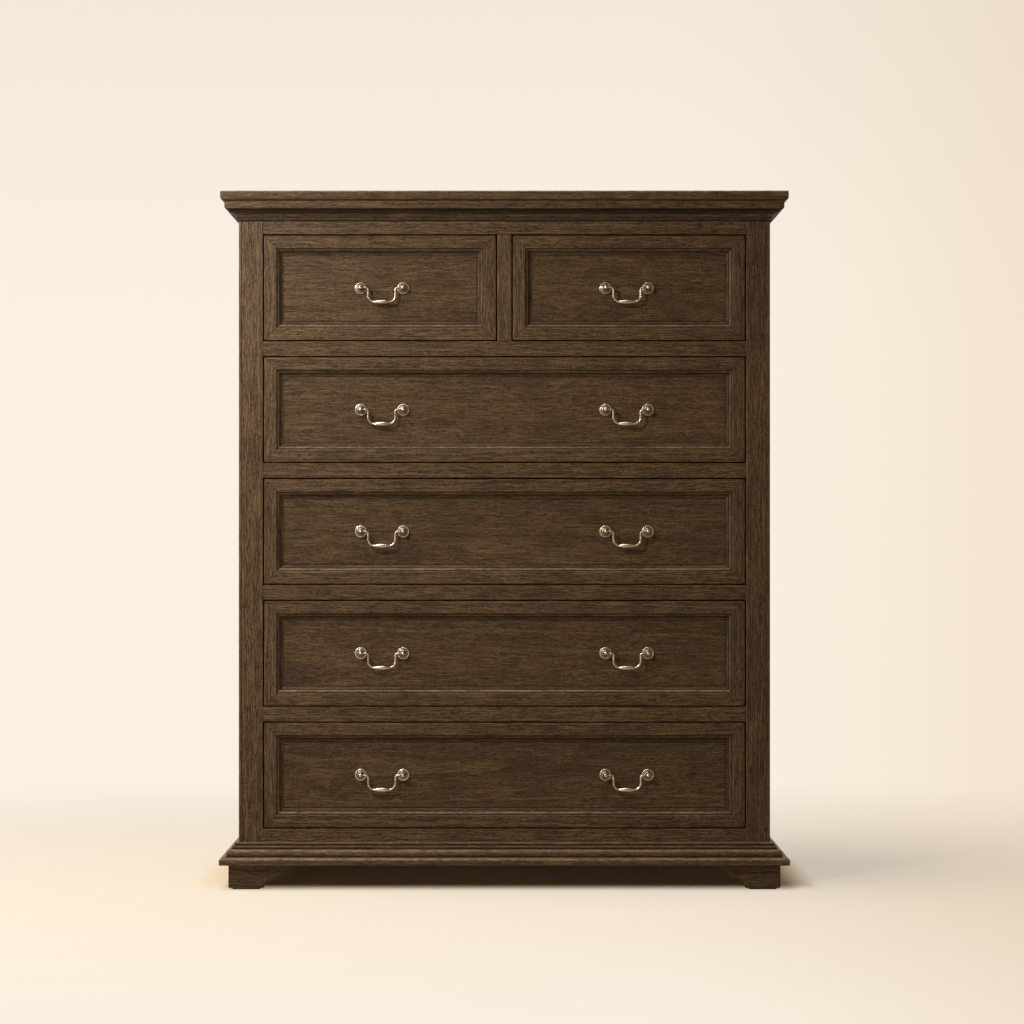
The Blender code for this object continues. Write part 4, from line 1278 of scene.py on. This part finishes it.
def bail_line(sizes, spacing):
    """Half of the bail's middle line, from a pin's end to the grip's middle.

    Each station is (x, z, angle of travel in degrees, radius).
    """
    arm = sizes.arm_spacing / 2
    pin_end = spacing / 2 - sizes.ball_radius + sizes.pin_depth
    pin_root = spacing / 2 - sizes.ball_radius - sizes.pin_gap
    rod, pin = sizes.rod_radius, sizes.pin_radius
    bevel = rod * 0.25

    def radius(x):
        part = min(1.0, abs(x) / (sizes.grip_length / 2))
        return rod + (sizes.grip_radius - rod) * (1 - part ** 2)

    line = [(-pin_end, 0, 0, pin), (-pin_root, 0, 0, pin),
            (-pin_root + bevel * 0.1, 0, 0, rod - bevel), (-pin_root + bevel, 0, 0, rod)]
    shoulder_steps, corner_steps, grip_steps = 10, 12, 10
    shoulder, corner = sizes.shoulder, sizes.corner
    bend = arc((-arm - shoulder, -shoulder), (shoulder, shoulder), 90, 0, shoulder_steps)
    line += [(x, z, -90 * i / shoulder_steps, rod) for i, (x, z) in enumerate(bend)]
    bend = arc((-arm + corner, corner - sizes.drop), (corner, corner), 180, 270, corner_steps)
    line += [(x, z, 90 * i / corner_steps - 90, radius(x)) for i, (x, z) in enumerate(bend)]
    grip = [bend[-1][0] * (1 - i / grip_steps) for i in range(1, grip_steps + 1)]
    return line + [(x, -sizes.drop, 0, radius(x)) for x in grip]


def handle_bail(handle, body):
    """Swan-neck bail: a bent rod that swells in the grip, its pins in the two balls.

    Hands keep the grip bright, and film lies on the pins and round the shoulder's bevel.
    """
    sizes = bpy.context.scene.tallboy_handles
    left, right = (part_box(f"{handle}_{hand}_post") for hand in ("left", "right"))
    centres = [(low + high) / 2 for low, high in (left, right)]
    spacing = centres[1].x - centres[0].x
    origin = ((centres[0].x + centres[1].x) / 2, left[1].y - sizes.reach, centres[0].z)
    half = bail_line(sizes, spacing)
    line = half + [(-x, z, -angle, radius) for x, z, angle, radius in reversed(half[:-1])]
    bright_reach = sizes.grip_length / 1.6
    thin = sizes.rod_radius * 0.95
    pin_film = 0.6
    points, handling = [], []
    for x, z, angle, radius in line:
        slope = math.radians(angle)
        across = Vector((-math.sin(slope), 0, math.cos(slope)))
        bright = max(0.0, 1 - abs(x) / bright_reach)
        film = pin_film if radius < thin else 0.0
        for i in range(BAIL_SIDES):
            turn = math.tau * i / BAIL_SIDES
            spot = Vector((x, radius * math.sin(turn), z)) + across * radius * math.cos(turn)
            points.append(tuple(spot))
            handling.append((bright, film))
    node_name = handle + "_bail"
    faces = skin(len(line), BAIL_SIDES)
    brass_piece(node_name + "_brass", points, faces, handling, origin, body, node_name)


# Stage

def paper(stage):
    """Seamless background paper: matt and even, it keeps the chest's soft shadow.

    Camera, mirror and glass rays see through it to the backdrop's colour far from the chest. Under
    the chest that see-through share is faded out by position and tinted warm brown, as painted
    shade.
    """
    material, tree, shader = bare_material("seamless_paper")
    path = node(tree, "LightPath")
    seen = node(tree, "Math", (path["Is Camera Ray"], path["Is Glossy Ray"]), **HIGHEST)[0]
    seen = node(tree, "Math", (seen, path["Is Transmission Ray"]), **HIGHEST)[0]
    dimmed = [part * stage.bounce for part in stage.floor]
    feed(tree, shader, {"Base Color": coated(tree, dimmed, (seen, stage.floor)),
                        "Roughness": 0.9, "Specular IOR Level": 0.0})

    # Distance from the deep shade that lies under the chest
    corner = cad_box[1]
    shaded = (corner.x - stage.shade_side, corner.y - stage.shade_edge, 0)
    place = node(tree, "NewGeometry")["Position"]
    reach = node(tree, "VectorMath", (place,), operation="ABSOLUTE")[0]
    past = node(tree, "VectorMath", (reach, shaded), **LESS)[0]
    past = node(tree, "VectorMath", (past, (0, 0, 0)), **HIGHEST)[0]
    away = node(tree, "VectorMath", (past,), operation="LENGTH")["Value"]

    # The share of backdrop shows little in the shade, and all of it once the shadow has faded
    edge, end = stage.shade_edge, stage.shade_edge + stage.floor_fade
    near = (away, 0.0, edge, stage.shade_floor, 1 - stage.floor_light)
    near = node(tree, "MapRange", near, **SMOOTHLY)[0]
    far = node(tree, "MapRange", (away, edge, end, 0.0, stage.floor_light), **SMOOTHLY)[0]
    fade = node(tree, "Math", (near, far), **PLUS)[0]
    fade = node(tree, "Math", (seen, fade), **TIMES)[0]
    # Painted shade: in the shade under the chest the see-through share is tinted warm brown
    in_open = node(tree, "MapRange", (away, 0.0, edge), **SMOOTHLY)[0]
    tint = coated(tree, stage.painted_shade_tint, (in_open, (1, 1, 1)))
    clear = node(tree, "BsdfTransparent", {"Color": tint})[0]
    mix = node(tree, "MixShader", (fade, shader.outputs[0], clear))[0]
    feed(tree, tree.nodes["Material Output"], {"Surface": mix})
    return material


def studio_sky(stage):
    """Even light from all round, seen as the paper's colour, painted paler on the left and darker
    to the right and top as a painted falloff of the lamps' light.

    Metal shows the paper behind the chest and the dim room on the camera's side of it.
    """
    # Where each change starts and ends, as shares of a direction back, right or up
    room_edge, side_edge, upper_edge = (-0.2, 0.4), (0.05, 0.30), (0.06, 0.26)
    world = bpy.data.worlds.new("studio")
    bpy.context.scene.world = world
    world.use_nodes = True
    tree = world.node_tree
    path = node(tree, "LightPath")
    towards = node(tree, "TexCoord")["Generated"]
    rightward, backward, upward = node(tree, "SeparateXYZ", (towards,))
    mirrored = (path["Is Glossy Ray"], path["Is Transmission Ray"])
    mirrored = node(tree, "Math", mirrored, **HIGHEST)[0]
    room = node(tree, "MapRange", (backward, *room_edge, stage.room, 1.0), **SMOOTHLY)[0]
    mirrored = node(tree, "Math", (mirrored, room), **TIMES)[0]
    seen = node(tree, "Math", (path["Is Camera Ray"], mirrored), **HIGHEST)[0]
    strength = node(tree, "Math", (seen, stage.ambient), **HIGHEST)[0]
    # Painted falloff: the paper darkens to the right and towards the top
    side = node(tree, "MapRange", (rightward, *side_edge), **SMOOTHLY)[0]
    shade = coated(tree, stage.backdrop, (side, stage.far_side))
    dimming = node(tree, "MapRange", (upward, *upper_edge, 1.0, stage.upper_dim), **SMOOTHLY)[0]
    shade = node(tree, "VectorMath", {0: shade, "Scale": dimming}, operation="SCALE")[0]
    feed(tree, tree.nodes["Background"], {"Color": shade, "Strength": strength})


def softbox(name, place, target, width, height, power):
    """A soft lamp, aimed, which the camera doesn't see."""
    lamp = bpy.data.lights.new(name, "AREA")
    lamp.shape = "RECTANGLE"
    lamp.size, lamp.size_y = width, height
    lamp.energy = power
    lamp.color = bpy.context.scene.tallboy_stage.lamp_tint
    holder = bpy.data.objects.new(name, lamp)
    holder.location = place
    holder.rotation_euler = (Vector(target) - Vector(place)).to_track_quat("-Z", "Y").to_euler()
    holder.visible_camera = False
    bpy.context.scene.collection.objects.link(holder)


def build_stage():
    scene = bpy.context.scene
    stage = scene.tallboy_stage
    turns = [math.tau * i / FLOOR_SIDES for i in range(FLOOR_SIDES)]
    rim = [(stage.floor_radius * math.cos(turn), stage.floor_radius * math.sin(turn), 0.0)
           for turn in turns]
    mesh = bpy.data.meshes.new("floor")
    mesh.from_pydata(rim, [], [tuple(range(FLOOR_SIDES))])
    mesh.materials.append(paper(stage))
    floor = bpy.data.objects.new("floor", mesh)
    scene.collection.objects.link(floor)
    studio_sky(stage)
    for lamp in LAMPS:
        softbox(*lamp)

    lens = bpy.data.cameras.new("camera")
    lens.lens = stage.focal_length
    lens.sensor_width = SENSOR_WIDTH
    lens.shift_x, lens.shift_y = stage.shift_x, stage.shift_y
    camera = bpy.data.objects.new("camera", lens)
    camera.location = (0, case_front - stage.distance, stage.height)
    camera.rotation_euler = (math.radians(90), 0, 0)
    scene.collection.objects.link(camera)
    scene.camera = camera
    scene.view_settings.view_transform = "Standard"


# Operators

class TallboyTopBoard(bpy.types.Operator):
    """Lays the top board on the case"""
    bl_idname = "tallboy.top_board"
    bl_label = "Top board"

    def execute(self, context):
        top_board()
        return {"FINISHED"}


class TallboyCornice(bpy.types.Operator):
    """Mitres the cornice round the top of the case"""
    bl_idname = "tallboy.cornice"
    bl_label = "Cornice"

    def execute(self, context):
        low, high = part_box("cornice_moulding")
        outline, filled = cornice_section(context.scene.tallboy_mouldings, high.z - low.z)
        mitred_lengths("cornice_moulding", outline, low.z, filled)
        return {"FINISHED"}


class TallboyPlinth(bpy.types.Operator):
    """Mitres the plinth moulding round the bottom of the case"""
    bl_idname = "tallboy.plinth"
    bl_label = "Plinth"

    def execute(self, context):
        low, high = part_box("plinth_moulding")
        outline = plinth_section(context.scene.tallboy_mouldings, high.z - low.z)
        mitred_lengths("plinth_moulding", outline, low.z)
        return {"FINISHED"}


class TallboySides(bpy.types.Operator):
    """Frames both sides of the case round their sunk panels"""
    bl_idname = "tallboy.sides"
    bl_label = "Sides"

    def execute(self, context):
        case_side(-1, "left")
        case_side(1, "right")
        return {"FINISHED"}


class TallboyWebFrames(bpy.types.Operator):
    """Fits the rails between the drawers and the frames behind them"""
    bl_idname = "tallboy.web_frames"
    bl_label = "Rails and web frames"

    def execute(self, context):
        for name in WEB_FRAMES:
            web_frame(name)
        return {"FINISHED"}


class TallboyMuntin(bpy.types.Operator):
    """Fits the muntin and the divider between the short drawers"""
    bl_idname = "tallboy.muntin"
    bl_label = "Muntin and divider"

    def execute(self, context):
        muntin_and_divider()
        return {"FINISHED"}


class TallboyBack(bpy.types.Operator):
    """Closes the back with upright boards"""
    bl_idname = "tallboy.back"
    bl_label = "Back"

    def execute(self, context):
        back_boards()
        return {"FINISHED"}


class TallboyBracketFeet(bpy.types.Operator):
    """Mitres the four bracket feet and pads them with felt"""
    bl_idname = "tallboy.bracket_feet"
    bl_label = "Bracket feet"

    def execute(self, context):
        for side, hand in ((-1, "left"), (1, "right")):
            for front, end in ((True, "front"), (False, "rear")):
                bracket_foot(f"{end}_{hand}_foot", side, front)
        return {"FINISHED"}


class TallboyDrawerFronts(bpy.types.Operator):
    """Frames each drawer's sunk panel with a mitred moulding"""
    bl_idname = "tallboy.drawer_fronts"
    bl_label = "Drawer fronts"

    def execute(self, context):
        for drawer in LONG_DRAWERS + SHORT_DRAWERS:
            panelled_front(drawer)
        return {"FINISHED"}


class TallboyDrawerBoxes(bpy.types.Operator):
    """Dovetails the box behind each drawer front"""
    bl_idname = "tallboy.drawer_boxes"
    bl_label = "Drawer boxes"

    def execute(self, context):
        for drawer in LONG_DRAWERS + SHORT_DRAWERS:
            drawer_box(drawer)
        return {"FINISHED"}


class TallboyPosts(bpy.types.Operator):
    """Turns the two posts of each handle"""
    bl_idname = "tallboy.posts"
    bl_label = "Handle posts"

    def execute(self, context):
        for handle in HANDLES:
            drawer = handle if handle in SHORT_DRAWERS else handle.rsplit("_", 1)[0]
            for hand in ("left", "right"):
                node_name = f"{handle}_{hand}_post"
                handle_post(node_name + "_brass", drawer, node_name)
        return {"FINISHED"}


class TallboyBails(bpy.types.Operator):
    """Bends the bail of each handle"""
    bl_idname = "tallboy.bails"
    bl_label = "Handle bails"

    def execute(self, context):
        for handle in HANDLES:
            handle_bail(handle, handle + "_bail")
        return {"FINISHED"}


class TallboySetStage(bpy.types.Operator):
    """Sets the floor, the lamps and the camera"""
    bl_idname = "tallboy.stage"
    bl_label = "Stage"

    def execute(self, context):
        build_stage()
        return {"FINISHED"}


OPERATORS = (TallboySetStage, TallboyTopBoard, TallboyCornice, TallboyPlinth, TallboySides,
             TallboyWebFrames, TallboyMuntin, TallboyBack, TallboyBracketFeet, TallboyDrawerFronts,
             TallboyDrawerBoxes, TallboyPosts, TallboyBails)


class TallboyPanel(bpy.types.Panel):
    """Lists the tallboy's pieces"""
    bl_idname = "VIEW3D_PT_tallboy"
    bl_label = "Tallboy"
    bl_space_type = "VIEW_3D"
    bl_region_type = "UI"
    bl_category = "Tallboy"

    def draw(self, context):
        for operator in OPERATORS:
            self.layout.operator(operator.bl_idname)


CLASSES = (*GROUPS.values(), *OPERATORS, TallboyPanel)


def register():
    for made in CLASSES:
        bpy.utils.register_class(made)
    for name, group in GROUPS.items():
        setattr(bpy.types.Scene, name, bpy.props.PointerProperty(type=group))


def unregister():
    for name in GROUPS:
        delattr(bpy.types.Scene, name)
    for made in reversed(CLASSES):
        bpy.utils.unregister_class(made)


def main():
    register()
    bpy.ops.tallboy.stage()
    bpy.ops.tallboy.top_board()
    bpy.ops.tallboy.cornice()
    bpy.ops.tallboy.plinth()
    bpy.ops.tallboy.sides()
    bpy.ops.tallboy.web_frames()
    bpy.ops.tallboy.muntin()
    bpy.ops.tallboy.back()
    bpy.ops.tallboy.bracket_feet()
    bpy.ops.tallboy.drawer_fronts()
    bpy.ops.tallboy.drawer_boxes()
    bpy.ops.tallboy.posts()
    bpy.ops.tallboy.bails()


if __name__ == "__main__":
    main()
